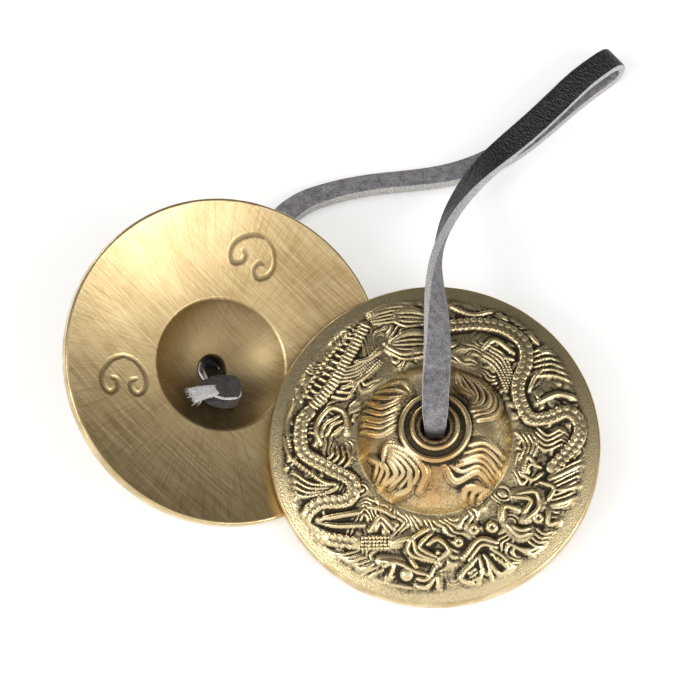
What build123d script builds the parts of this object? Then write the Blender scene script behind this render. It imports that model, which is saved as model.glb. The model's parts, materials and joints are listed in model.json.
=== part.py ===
from build123d import *
import bisect
import math
import os

# Tingsha: two cast brass hand cymbals on one knotted leather thong, as they lie on a table.
# The left cymbal lies on its boss with its hollow up and leans until its rim touches the table.
# The right cymbal lies rim down and rests on the left one's rim and on the table.
# The thong runs from knot to knot through both boss holes and folds into a finger loop behind them.
# Millimetres and degrees, +Z up, origin on the table under the middle of the two cymbals.

# Cymbal casting, one pattern for both, with heights measured from its rim plane towards the boss
rim_radius = 32.5
rim_thickness = 2.8
rim_front_round = 0.5
rim_back_round = 0.6
dish_swell = 0.4
boss_base_radius = 15.2
boss_base_height = 5.8
boss_height = 15.6
hollow_radius = 13.3
hollow_edge_height = 3.65
hollow_height = 10.55
hole_radius = 2.9
hole_mouth_radius = 3.2
outer_ring_radius = 6.5
outer_ring_bead = 0.55
inner_ring_radius = 4.4
inner_ring_bead = 0.45

# Raised ornament on the boss side of both castings, as lines seen from above the boss
relief_height = 0.6
relief_root = 0.4
boss_field_inner = 7.3
boss_field_outer = 14.8
dish_field_inner = 15.8
dish_field_outer = 29.6
dragon_width = 2.8
tail_width = 2.2
head_width = 1.8
line_width = 1.2
dragon_bodies = [
    [(-15.5, -20.5), (-21.5, -19), (-25.5, -16), (-22.5, -12.5), (-17, -12), (-16, -8.5), (-20.5, -5.5),
     (-25.5, -2), (-26, 3.5), (-24.5, 6)],
    [(3, 23.5), (9, 24), (14, 23), (17.5, 20), (18, 16), (16.5, 12), (16.5, 8.5), (18.5, 4.5), (22, 4.5),
     (25.5, 6), (28, 4.5), (28, 0.5), (23, -5.5)],
]
dragon_tail = [(-24, 7), (-20, 11.5), (-16.5, 18), (-13.5, 24)]
dragon_heads = [
    [(-8, -20.5), (-4.5, -20), (-3.5, -22.5), (0, -24)],
    [(-10.5, -24), (-7, -24.5), (-4, -26), (-0.5, -27)],
    [(15.5, -11), (19.5, -10.5), (20, -13.5), (17.5, -16)],
    [(14, -17), (16, -19), (18.5, -18.5)],
]
dish_lines = [
    [(20, 7.5), (24, 9.5), (27.5, 9)],
    [(-22, -0.5), (-23, 3), (-20.5, 6.5), (-17.5, 5.5), (-17, 1.5)],
    [(-15.5, 16), (-13, 16.5), (-10.5, 18.5)],
    [(-18, 10.5), (-14, 12.5), (-10.5, 16)],
    [(-22, -15.5), (-18.5, -15), (-14.5, -14.5)],
    [(-21.5, -16.5), (-18.5, -17), (-14, -17)],
    [(-12.5, -18), (-10.5, -15.5), (-8, -18)],
    [(-14, -23), (-16.5, -24), (-18.5, -23)],
    [(-12, -24.5), (-14, -25.5), (-15.5, -25)],
    [(5.5, -23.5), (8.5, -20), (12, -20.5)],
    [(8.5, -23), (5, -27), (7.5, -28.5)],
    [(9.5, -23), (12.5, -26.5), (15, -25)],
    [(22, -8), (25, -6.5), (28.5, -4.5)],
    [(23.5, -10), (26, -9.5), (28.5, -8.5)],
    [(22.5, -13), (25.5, -12), (27.5, -11)],
    [(17, -7), (18, -3.5), (20, -5.5)],
    [(9.5, 18.5), (12, 20.5), (15.5, 18)],
    [(-9.5, 19.5), (-6, 17.5), (-2, 18.5)],
    [(-8, 20.5), (-5, 22), (-1.5, 22)],
    [(-7.5, 26.5), (-4.5, 27), (-1.5, 26)],
]
boss_clouds = [
    [(-10, -6), (-9, -3), (-5, -5), (-2, -8.5), (-3, -11.5)],
    [(-9, -5.5), (-7.5, -8.5), (-10.5, -10)],
    [(-5, -8), (-5, -11), (-8, -12)],
    [(6.5, -3.5), (9.5, -2.5), (13, -4)],
    [(5, -6.5), (9, -5), (12, -7)],
    [(2, -7.5), (4, -10), (8, -8), (10.5, -9.5)],
    [(5.5, -13), (6, -11), (9, -10.5)],
    [(-4.5, 7.5), (-6.5, 10), (-10, 10)],
    [(-13, 7), (-10, 5), (-6.5, 6)],
    [(-14, 4), (-10.5, 2), (-7.5, 2.5)],
    [(4.5, 12.5), (5, 8.5), (8, 6.5)],
    [(7, 3.5), (10, 5), (10.5, 8), (7, 12)],
]

# How the two cymbals lie
left_heading = -46.0
far_crossing_angle = 72.0
near_crossing_angle = -19.0
rim_seat_gap = 0.25
lowest_right_tip = -20.0
highest_right_tip = 60.0
tip_halvings = 60

# Leather thong
thong_width = 5.2
thong_thickness = 1.8
neck_width = 3.6
neck_bend_radius = 2.5
bend_step_angle = 15.0
bend_share = 0.45

# Knots in the thong's two ends
knot_length = 8.4
knot_width = 6.2
knot_thickness = 4.4
knot_round = 1.9
knot_wrap_width = 3.6
knot_wrap_proud = 0.45
knot_seat_gap = 0.3
left_knot_reach = 6.1
left_knot_side = 0.5
tail_length = 2.6
tail_lift = 0.9

# Where the thong leaves the two holes
left_neck_reach = 1.6
left_neck_slant = 0.8
left_neck_length = 8.0
right_neck_rise = 2.0
right_neck_turn_run = 2.4
right_neck_turn_angle = 51.0
right_neck_length = 9.0

# Route of the free thong from the right hole to the left one, one row for each point:
# x, y, z, then the heading and the dip of the line across the band
right_lead_route = [
    (19.9, -3.4, 25.3, 0, -4),
    (20.4, 4.7, 25.0, 0, -18),
    (20.3, 11.9, 24.2, -8, -34),
    (20.2, 19.0, 22.2, -25, -47),
    (20.3, 27.0, 18.6, -63, -61),
    (21.4, 35.3, 14.0, -125, -64),
    (23.5, 43.7, 10.5, -172, -52),
    (26.9, 51.3, 8.0, 162, -36),
    (31.0, 57.6, 6.8, 144, -14),
    (35.8, 62.8, 6.4, 134, 4),
    (40.6, 67.6, 6.3, 135, 8),
    (45.6, 73.1, 6.2, 136, 8),
]
finger_loop_route = [
    (50.2, 78.2, 6.2, 133, 4),
    (53.7, 81.2, 6.2, 129, 0),
    (56.7, 83.6, 6.2, 129, 0),
    (57.9, 84.6, 4.65, 129, 0),
    (57.9, 84.6, 2.45, 129, 0),
    (56.7, 83.6, 0.95, 129, 0),
    (53.5, 81.0, 0.95, 130, 0),
    (48.2, 76.3, 0.95, 132, 0),
]
left_lead_route = [
    (42.6, 70.6, 0.95, 134, 0),
    (36.6, 65.2, 0.95, 129, 0),
    (30.0, 60.9, 1.3, 117, -8),
    (22.8, 58.3, 1.65, 105, -16),
    (15.2, 57.1, 1.8, 98, -20),
    (7.6, 56.3, 1.8, 100, -20),
    (0.0, 54.6, 1.7, 109, -18),
    (-7.6, 51.7, 1.5, 124, -12),
    (-13.4, 44.6, 1.1, 150, -3),
    (-18.0, 32.8, 0.95, 158, 0),
    (-22.0, 22.8, 0.95, 158, 0),
]


# Directions and small helpers

def heading_vector(heading, dip=0.0):
    """Unit vector that points along a heading, tipped up by a dip."""
    flat = math.cos(math.radians(dip))
    return Vector(
        flat * math.cos(math.radians(heading)),
        flat * math.sin(math.radians(heading)),
        math.sin(math.radians(dip)),
    )


def sphere_radius(base_radius, rise):
    """Radius of the sphere whose cap has this base radius and rise."""
    return (base_radius**2 + rise**2) / (2 * rise)


def crown_ball():
    """Radius of the sphere that the boss's outer surface is part of."""
    return sphere_radius(boss_base_radius, boss_height - boss_base_height)


def crown_height(radius):
    """Height of the boss's outer surface at a radius."""
    return boss_height - crown_ball() + math.sqrt(crown_ball() ** 2 - radius**2)


def hollow_ball():
    """Radius of the sphere that the boss's hollow is part of."""
    return sphere_radius(hollow_radius, hollow_height - hollow_edge_height)


def hollow_depth(radius):
    """Height of the hollow's surface at a radius."""
    return hollow_height - hollow_ball() + math.sqrt(hollow_ball() ** 2 - radius**2)


# Cymbal casting

def swollen_edge(start, end, swell):
    """Shallow arc between two points of the profile, bulging towards the boss."""
    middle = ((start[0] + end[0]) / 2, (start[1] + end[1]) / 2 + swell)
    return ThreePointArc(start, middle, end)


def cap_edge(start_radius, end_radius, height_at):
    """Arc of a spherical cap between two radii."""
    radii = (start_radius, (start_radius + end_radius) / 2, end_radius)
    return ThreePointArc(*[(radius, height_at(radius)) for radius in radii])


def rim_round(start, end, size):
    """Quarter round at an edge of the rim."""
    return RadiusArc(start, end, -size)


def cymbal():
    """One cymbal on its own axis: rim plane at height 0, boss up."""
    lip = (rim_radius - rim_front_round, 0)
    wall_low = (rim_radius, rim_front_round)
    wall_high = (rim_radius, rim_thickness - rim_back_round)
    back_edge = (rim_radius - rim_back_round, rim_thickness)
    boss_base = (boss_base_radius, boss_base_height)
    mouth_drop = hole_mouth_radius - hole_radius
    mouth = (hole_mouth_radius, crown_height(hole_mouth_radius))
    hole_top = (hole_radius, mouth[1] - mouth_drop)
    hole_bottom = (hole_radius, hollow_depth(hole_radius))
    hollow_edge = (hollow_radius, hollow_edge_height)
    outline = [
        rim_round(lip, wall_low, rim_front_round),
        Line(wall_low, wall_high),
        rim_round(wall_high, back_edge, rim_back_round),
        swollen_edge(back_edge, boss_base, dish_swell),
        cap_edge(boss_base_radius, hole_mouth_radius, crown_height),
        Line(mouth, hole_top),
        Line(hole_top, hole_bottom),
        cap_edge(hole_radius, hollow_radius, hollow_depth),
        swollen_edge(hollow_edge, lip, dish_swell),
    ]
    profile = Plane.XZ * make_face(outline)
    body = revolve(profile, Axis.Z)
    rings = [(outer_ring_radius, outer_ring_bead), (inner_ring_radius, inner_ring_bead)]
    for radius, bead in rings:
        body += Pos(0, 0, crown_height(radius)) * Torus(radius, bead)
    return body.solid()


def dish_height(radius):
    """Height of the dish's outer surface at a radius."""
    back_radius = rim_radius - rim_back_round
    share = (radius - boss_base_radius) / (back_radius - boss_base_radius)
    straight = boss_base_height + (rim_thickness - boss_base_height) * share
    return straight + 4 * dish_swell * share * (1 - share)


def boss_layer():
    """Thin layer over the boss, from inside the metal to the top of the clouds."""
    middle = Pos(0, 0, boss_height - crown_ball())
    shell = middle * Sphere(crown_ball() + relief_height) - middle * Sphere(crown_ball() - relief_root)
    upward = (Align.CENTER, Align.CENTER, Align.MIN)
    reach = boss_height + relief_height
    field = Cylinder(boss_field_outer, reach, align=upward) - Cylinder(boss_field_inner, reach, align=upward)
    return shell & field


def dish_layer():
    """Thin layer over the dish, from inside the metal to the top of the dragons."""
    radii = (dish_field_inner, (dish_field_inner + dish_field_outer) / 2, dish_field_outer)
    low = [(radius, dish_height(radius) - relief_root) for radius in radii]
    high = [(radius, dish_height(radius) + relief_height) for radius in radii]
    outline = [
        ThreePointArc(*low),
        Line(low[-1], high[-1]),
        ThreePointArc(*high),
        Line(high[0], low[0]),
    ]
    return revolve(Plane.XZ * make_face(outline), Axis.Z)


def raised_lines(lines, width, layer):
    """Ornament along smooth lines, cut from a layer."""
    raised = []
    for points in lines:
        pen = trace(Spline(*points), line_width=width)
        raised += (extrude(pen, amount=boss_height + relief_height) & layer).solids()
    return raised


def cast_cymbal():
    """One cymbal with its raised dragons and clouds."""
    dish = dish_layer()
    ornament = raised_lines(boss_clouds, line_width, boss_layer())
    ornament += raised_lines(dragon_bodies, dragon_width, dish)
    ornament += raised_lines([dragon_tail], tail_width, dish)
    ornament += raised_lines(dragon_heads, head_width, dish)
    ornament += raised_lines(dish_lines, line_width, dish)
    return cymbal().fuse(*ornament).solid()


# Resting places of the two cymbals

def left_lean():
    """Lean at which the outer ring and the rim of the upturned cymbal both touch the table."""
    rise = crown_height(outer_ring_radius) - (rim_thickness - rim_back_round)
    reach = rim_radius - rim_back_round - outer_ring_radius
    spare = rim_back_round - outer_ring_bead
    return math.acos(spare / math.hypot(rise, reach)) - math.atan2(reach, rise)


def left_rest():
    """Rim centre, upward axis and downhill direction of the left cymbal, its rim centre over x = y = 0."""
    lean = left_lean()
    height = (rim_thickness - rim_back_round) * math.cos(lean)
    height += (rim_radius - rim_back_round) * math.sin(lean) + rim_back_round
    downhill = heading_vector(left_heading)
    up = downhill * math.sin(lean) + Vector(0, 0, math.cos(lean))
    slope = downhill * math.cos(lean) - Vector(0, 0, math.sin(lean))
    return Vector(0, 0, height), up, slope


def right_rest(left_centre, left_up, left_slope):
    """Rim centre and upward axis of the right cymbal, on two points of the left rim and the table."""
    lip_radius = rim_radius - rim_front_round
    level = left_up.cross(left_slope)
    seats = []
    for angle in (far_crossing_angle, near_crossing_angle):
        turn = math.radians(angle)
        spoke = left_slope * math.cos(turn) + level * math.sin(turn)
        seats.append(left_centre + spoke * lip_radius + Vector(0, 0, rim_seat_gap))
    chord = seats[1] - seats[0]
    middle = (seats[0] + seats[1]) / 2
    offset = math.sqrt(lip_radius**2 - (chord.length / 2) ** 2)
    along = chord.normalized()
    outward = Vector(0, 0, 1).cross(along).normalized()
    upward = along.cross(outward)
    lowest_tip = math.radians(lowest_right_tip)
    highest_tip = math.radians(highest_right_tip)
    for _ in range(tip_halvings):
        tip = (lowest_tip + highest_tip) / 2
        toward = outward * math.cos(tip) - upward * math.sin(tip)
        centre = middle + toward * offset
        axis = along.cross(toward)
        lean = math.acos(axis.Z)
        lowest = centre.Z - lip_radius * math.sin(lean) - rim_front_round * (1 - math.cos(lean))
        if lowest > 0:
            lowest_tip = tip
        else:
            highest_tip = tip
    return centre, axis


def level_plane(centre, axis):
    """Plane at a cymbal's rim centre, its x direction as near to +X as its axis allows."""
    across = Vector(1, 0, 0) - axis * axis.X
    return Plane(origin=centre, x_dir=across, z_dir=axis)


def rest_planes():
    """Rim planes of the two cymbals, moved so that the pair stands over the origin."""
    left_centre, left_up, left_slope = left_rest()
    right_centre, right_up = right_rest(left_centre, left_up, left_slope)
    pair = Compound(
        children=[
            cymbal().moved(level_plane(left_centre, left_up * -1).location),
            cymbal().moved(level_plane(right_centre, right_up).location),
        ]
    )
    box = pair.bounding_box()
    shift = Vector(-box.center().X, -box.center().Y, 0)
    left_plane = level_plane(left_centre + shift, left_up * -1)
    right_plane = level_plane(right_centre + shift, right_up)
    return left_plane, right_plane


# Leather thong

def even_radii(points):
    """Largest bend that the runs beside each inner point leave room for."""
    radii = []
    for before, here, after in zip(points, points[1:], points[2:]):
        arriving = here - before
        leaving = after - here
        half_turn = math.radians(arriving.get_angle(leaving)) / 2
        radii.append(bend_share * min(arriving.length, leaving.length) / math.tan(half_turn))
    return radii


def run_distances(points):
    """Distance along the runs to each point of a route."""
    distances = [0.0]
    for before, here in zip(points, points[1:]):
        distances.append(distances[-1] + (here - before).length)
    return distances


def bend_stations(points, distances, index, radius):
    """Distance, place and tangent of each section in the arc at one point of a route."""
    arriving = (points[index] - points[index - 1]).normalized()
    leaving = (points[index + 1] - points[index]).normalized()
    turn = math.radians(arriving.get_angle(leaving))
    setback = radius * math.tan(turn / 2)
    inward = (leaving - arriving * math.cos(turn)) / math.sin(turn)
    start = points[index] - arriving * setback
    steps = max(1, math.ceil(math.degrees(turn) / bend_step_angle))
    stations = []
    for step in range(steps + 1):
        swung = turn * step / steps
        place = start + arriving * (radius * math.sin(swung)) + inward * (radius * (1 - math.cos(swung)))
        tangent = arriving * math.cos(swung) + inward * math.sin(swung)
        stations.append((distances[index] + setback * (2 * step / steps - 1), place, tangent))
    return stations


def run_index(distances, distance):
    """Index of the run that a distance falls on."""
    return min(max(bisect.bisect_right(distances, distance) - 1, 0), len(distances) - 2)


def run_station(points, distances, distance):
    """Distance, place and tangent of a section on a straight run."""
    index = run_index(distances, distance)
    tangent = (points[index + 1] - points[index]).normalized()
    return distance, points[index] + tangent * (distance - distances[index]), tangent


def between(values, distances, distance):
    """Value at a distance along a route, from the values at its points."""
    index = run_index(distances, distance)
    share = (distance - distances[index]) / (distances[index + 1] - distances[index])
    return values[index] * (1 - share) + values[index + 1] * share


def cut_band(names, points, across, widths, radii, marks):
    """Flat leather band along straight runs and tangent arcs, cut into named stretches at the marks."""
    distances = run_distances(points)
    stations = [run_station(points, distances, mark) for mark in marks]
    for index, radius in enumerate(radii, start=1):
        stations += bend_stations(points, distances, index, radius)
    stations.sort(key=lambda station: station[0])
    stretches = {}
    for name, begin, end in zip(names, marks, marks[1:]):
        sections = []
        length = 0.0
        swept = 0.0
        last_place = None
        for distance, place, tangent in stations:
            if begin <= distance <= end:
                side = between(across, distances, distance)
                width = between(widths, distances, distance)
                plane = Plane(origin=place, x_dir=side - tangent * side.dot(tangent), z_dir=tangent)
                sections.append((plane * Rectangle(width, thong_thickness)).face())
                if last_place is not None:
                    length += (place - last_place).length
                    swept += (place - last_place).length * width * thong_thickness
                last_place = place
        stretches[name] = loft(sections, ruled=True).solid()
        print(name, "length", round(length, 1), "volume", round(stretches[name].volume, 1),
              "section times length", round(swept, 1))
    print(*names, "bend radii", [round(radius, 1) for radius in radii])
    return stretches


# Knots

def knot_block():
    """Pulled-tight knot: a rounded core with one turn of the thong round it."""
    core = fillet(Box(knot_length, knot_width, knot_thickness).edges(), knot_round)
    proud = 2 * knot_wrap_proud
    wrap = Box(knot_wrap_width, knot_width + proud, knot_thickness + proud)
    wrap = fillet(wrap.edges(), knot_wrap_width / 2 - knot_wrap_proud)
    return (core + wrap).solid()


def left_knot_plane(left_plane):
    """Place of the left knot, lying on the slope of the upturned hollow beside the hole."""
    ball_centre = Vector(0, 0, hollow_height - hollow_ball())
    foot = Vector(left_knot_side, left_knot_reach, hollow_depth(math.hypot(left_knot_side, left_knot_reach)))
    outward = (foot - ball_centre).normalized()
    sag = hollow_ball() - math.sqrt(hollow_ball() ** 2 - (knot_width / 2) ** 2)
    stand = knot_thickness / 2 + knot_wrap_proud + knot_seat_gap + sag
    centre = foot - outward * stand
    side = Vector(1, 0, 0) - outward * outward.X
    local = Plane(origin=centre, x_dir=side, z_dir=outward)
    return Plane(left_plane.location * local.location)


def knot_corner_radius():
    """Distance from the knot's middle to the corner that meets the hollow first."""
    return math.hypot(knot_wrap_width / 2, knot_width / 2)


def right_knot_plane(right_plane):
    """Place of the right knot, pulled up under the hole inside the boss."""
    stand = knot_thickness / 2 + knot_wrap_proud + knot_seat_gap
    height = hollow_depth(knot_corner_radius()) - stand
    local = Plane(origin=(0, 0, height), x_dir=(1, 0, 0), z_dir=(0, 0, 1))
    return Plane(right_plane.location * local.location)


def knot_tail(name, knot_plane, side):
    """Cut end of the thong that stands out of a knot and lifts off the hollow's wall."""
    reach = side * (knot_length / 2 + tail_length)
    points = [
        knot_plane.from_local_coords((0, 0, 0)),
        knot_plane.from_local_coords((side * knot_length / 2, tail_lift / 2, -tail_lift / 2)),
        knot_plane.from_local_coords((reach, tail_lift, -2 * tail_lift)),
    ]
    marks = [0.0, run_distances(points)[-1]]
    across = [knot_plane.y_dir] * len(points)
    widths = [neck_width] * len(points)
    return cut_band([name], points, across, widths, even_radii(points), marks)[name]


# Route of the whole thong

def left_neck_points(left_plane, knot_plane):
    """Points under the left boss, at the inner mouth of its hole and in the left knot."""
    axis = left_plane.z_dir
    foot_drop = (left_plane.origin.Z - thong_thickness / 2) / -axis.Z
    foot = left_plane.origin + axis * foot_drop
    last_lead = Vector(*left_lead_route[-1][:3])
    corner = foot + (last_lead - foot).normalized() * left_neck_reach
    inner = left_plane.from_local_coords((0, left_neck_slant, hollow_depth(hole_radius)))
    return [Vector(corner.X, corner.Y, thong_thickness / 2), inner, knot_plane.origin]


def right_neck_points(right_plane, knot_plane):
    """Points in the right knot and at the two turns above the right hole."""
    first_turn = right_plane.from_local_coords((0, 0, crown_height(hole_mouth_radius) + right_neck_rise))
    sweep = math.radians(right_neck_turn_angle)
    climb = right_plane.z_dir * math.cos(sweep) + right_plane.y_dir * math.sin(sweep)
    return [knot_plane.origin, first_turn, first_turn + climb * right_neck_turn_run]


def thong(left_plane, right_plane, left_knot_at, right_knot_at):
    """The thong from knot to knot, cut into its two necks, its two leads and the finger loop."""
    right_neck = right_neck_points(right_plane, right_knot_at)
    left_neck = left_neck_points(left_plane, left_knot_at)
    rows = right_lead_route + finger_loop_route + left_lead_route
    points = right_neck + [Vector(x, y, z) for x, y, z, heading, dip in rows] + left_neck
    across = [right_plane.x_dir] * len(right_neck)
    across += [heading_vector(heading, dip) for x, y, z, heading, dip in rows]
    across += [across[-1], left_plane.x_dir * -1, left_plane.x_dir * -1]
    widths = [neck_width, neck_width] + [thong_width] * (len(points) - 5) + [neck_width] * 3
    radii = even_radii(points)
    radii[-2:] = [neck_bend_radius] * 2
    distances = run_distances(points)
    loop_start = len(right_neck) + len(right_lead_route)
    loop_end = loop_start + len(finger_loop_route)
    marks = [
        0.0,
        distances[2] + right_neck_length,
        (distances[loop_start - 1] + distances[loop_start]) / 2,
        (distances[loop_end - 1] + distances[loop_end]) / 2,
        distances[-3] - left_neck_length,
        distances[-1],
    ]
    names = ["right_neck", "right_lead", "finger_loop", "left_lead", "left_neck"]
    for name, mark in zip(names[1:], marks[1:]):
        distance, place, tangent = run_station(points, distances, mark)
        print(name, "starts at", place, "along", tangent)
    return cut_band(names, points, across, widths, radii, marks)


def build():
    """All nodes by name."""
    left_plane, right_plane = rest_planes()
    print("left rim centre", left_plane.origin, "axis", left_plane.z_dir)
    print("right rim centre", right_plane.origin, "axis", right_plane.z_dir)
    left_knot_at = left_knot_plane(left_plane)
    right_knot_at = right_knot_plane(right_plane)
    casting = cast_cymbal()
    nodes = {
        "left_cymbal": casting.moved(left_plane.location),
        "right_cymbal": casting.moved(right_plane.location),
        "left_knot": knot_block().moved(left_knot_at.location),
        "right_knot": knot_block().moved(right_knot_at.location),
        "left_knot_tail": knot_tail("left_knot_tail", left_knot_at, -1),
        "right_knot_tail": knot_tail("right_knot_tail", right_knot_at, 1),
    }
    nodes.update(thong(left_plane, right_plane, left_knot_at, right_knot_at))
    for side in ("left", "right"):
        knot = nodes[side + "_knot"]
        for piece in ("_knot_tail", "_neck"):
            nodes[side + piece] = (nodes[side + piece] - knot).solid()
    return nodes


os.makedirs("parts", exist_ok=True)
for node, solid in build().items():
    export_step(solid, os.path.join("parts", node + ".step"))
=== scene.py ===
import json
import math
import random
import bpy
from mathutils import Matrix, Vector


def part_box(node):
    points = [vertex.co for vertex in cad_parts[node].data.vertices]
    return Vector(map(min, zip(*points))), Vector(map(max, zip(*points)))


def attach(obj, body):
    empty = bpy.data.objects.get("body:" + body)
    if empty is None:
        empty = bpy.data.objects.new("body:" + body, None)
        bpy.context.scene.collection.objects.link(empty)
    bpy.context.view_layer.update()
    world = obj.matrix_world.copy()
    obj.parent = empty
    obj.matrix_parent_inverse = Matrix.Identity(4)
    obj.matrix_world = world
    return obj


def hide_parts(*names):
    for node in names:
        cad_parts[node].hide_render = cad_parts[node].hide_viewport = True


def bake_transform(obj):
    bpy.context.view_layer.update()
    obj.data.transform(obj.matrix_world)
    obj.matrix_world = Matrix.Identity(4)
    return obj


bl_info = {
    "name": "Tingsha Cymbals",
    "version": (1, 0, 0),
    "blender": (4, 5, 0),
    "location": "View3D > Sidebar > Tingsha",
    "description": "Dresses a pair of cast brass hand cymbals on a leather thong",
    "category": "Add Mesh",
}

from collections import namedtuple

import bpy
import numpy as np
from mathutils import Matrix, Vector, noise

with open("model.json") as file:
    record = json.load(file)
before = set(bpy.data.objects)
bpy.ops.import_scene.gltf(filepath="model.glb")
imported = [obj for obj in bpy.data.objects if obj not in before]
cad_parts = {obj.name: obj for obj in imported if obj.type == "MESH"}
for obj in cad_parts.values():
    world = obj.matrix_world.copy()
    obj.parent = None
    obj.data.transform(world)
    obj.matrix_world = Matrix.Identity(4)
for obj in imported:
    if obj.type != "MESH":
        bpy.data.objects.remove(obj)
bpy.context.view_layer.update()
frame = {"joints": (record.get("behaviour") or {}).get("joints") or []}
joints = {joint["name"]: joint for joint in frame["joints"]}
MM = 0.001

# Raised ornament on the boss side of the castings, in millimetres from the cymbal's axis,
# as lines seen from above the boss. These main lines are the same as on the solid.
DRAGON_BODIES = [
    [(-15.5, -20.5), (-21.5, -19), (-25.5, -16), (-22.5, -12.5), (-17, -12), (-16, -8.5), (-20.5, -5.5),
     (-25.5, -2), (-26, 3.5), (-24.5, 6)],
    [(3, 23.5), (9, 24), (14, 23), (17.5, 20), (18, 16), (16.5, 12), (16.5, 8.5), (18.5, 4.5), (22, 4.5),
     (25.5, 6), (28, 4.5), (28, 0.5), (23, -5.5)],
]
DRAGON_TAIL = [(-24, 7), (-20, 11.5), (-16.5, 18), (-13.5, 24)]
DRAGON_HEADS = [
    [(-8, -20.5), (-4.5, -20), (-3.5, -22.5), (0, -24)],
    [(-10.5, -24), (-7, -24.5), (-4, -26), (-0.5, -27)],
    [(15.5, -11), (19.5, -10.5), (20, -13.5), (17.5, -16)],
    [(14, -17), (16, -19), (18.5, -18.5)],
]
DISH_LINES = [
    [(20, 7.5), (24, 9.5), (27.5, 9)],
    [(-22, -0.5), (-23, 3), (-20.5, 6.5), (-17.5, 5.5), (-17, 1.5)],
    [(-15.5, 16), (-13, 16.5), (-10.5, 18.5)],
    [(-18, 10.5), (-14, 12.5), (-10.5, 16)],
    [(-22, -15.5), (-18.5, -15), (-14.5, -14.5)],
    [(-21.5, -16.5), (-18.5, -17), (-14, -17)],
    [(-12.5, -18), (-10.5, -15.5), (-8, -18)],
    [(-14, -23), (-16.5, -24), (-18.5, -23)],
    [(-12, -24.5), (-14, -25.5), (-15.5, -25)],
    [(5.5, -23.5), (8.5, -20), (12, -20.5)],
    [(8.5, -23), (5, -27), (7.5, -28.5)],
    [(9.5, -23), (12.5, -26.5), (15, -25)],
    [(22, -8), (25, -6.5), (28.5, -4.5)],
    [(23.5, -10), (26, -9.5), (28.5, -8.5)],
    [(22.5, -13), (25.5, -12), (27.5, -11)],
    [(17, -7), (18, -3.5), (20, -5.5)],
    [(9.5, 18.5), (12, 20.5), (15.5, 18)],
    [(-9.5, 19.5), (-6, 17.5), (-2, 18.5)],
    [(-8, 20.5), (-5, 22), (-1.5, 22)],
    [(-7.5, 26.5), (-4.5, 27), (-1.5, 26)],
]
BOSS_CLOUDS = [
    [(-10, -6), (-9, -3), (-5, -5), (-2, -8.5), (-3, -11.5)],
    [(-9, -5.5), (-7.5, -8.5), (-10.5, -10)],
    [(-5, -8), (-5, -11), (-8, -12)],
    [(6.5, -3.5), (9.5, -2.5), (13, -4)],
    [(5, -6.5), (9, -5), (12, -7)],
    [(2, -7.5), (4, -10), (8, -8), (10.5, -9.5)],
    [(5.5, -13), (6, -11), (9, -10.5)],
    [(-4.5, 7.5), (-6.5, 10), (-10, 10)],
    [(-13, 7), (-10, 5), (-6.5, 6)],
    [(-14, 4), (-10.5, 2), (-7.5, 2.5)],
    [(4.5, 12.5), (5, 8.5), (8, 6.5)],
    [(7, 3.5), (10, 5), (10.5, 8), (7, 12)],
]

# Strands of the clouds between the main lines: each fan's first strand, last strand and number of strands
CLOUD_FANS = [
    ([(-9, -3), (-5, -5), (-2, -8.5), (-3, -11.5)], [(-9, -5.5), (-8, -7), (-7.5, -8.5), (-10.5, -10)], 5),
    ([(-12.5, -4.5), (-11, -6), (-11.5, -8)], [(-10, -6), (-9, -8), (-10.5, -10)], 3),
    ([(6.5, -3.5), (9.5, -2.5), (13, -4)], [(5, -6.5), (9, -5), (12, -7)], 3),
    ([(4, -7.5), (6.5, -6.5), (9, -6), (11.5, -8)], [(2, -7.5), (4, -10), (8, -8), (10.5, -9.5)], 3),
    ([(5.5, -13), (6, -11), (9, -10.5)], [(8.5, -12.5), (9, -11.5), (10.5, -10.5)], 3),
    ([(-10, 10), (-6.5, 10), (-4.5, 7.5)], [(-13, 7), (-10, 5), (-6.5, 6)], 4),
    ([(-13, 7), (-10, 5), (-6.5, 6)], [(-14, 4), (-10.5, 2), (-7.5, 2.5)], 3),
    ([(-14, 4), (-10.5, 2), (-7.5, 2.5)], [(-14, 1), (-10.5, -0.5), (-7.5, 0.5)], 3),
    ([(7, 3.5), (10, 5), (10.5, 8), (7, 12)], [(7.5, 6), (7, 7.5), (6, 9), (4.5, 12.5)], 4),
    ([(8.5, 2), (12, 4), (12.5, 8), (9, 12)], [(7, 3.5), (10, 5), (10.5, 8), (7, 12)], 3),
]

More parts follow.
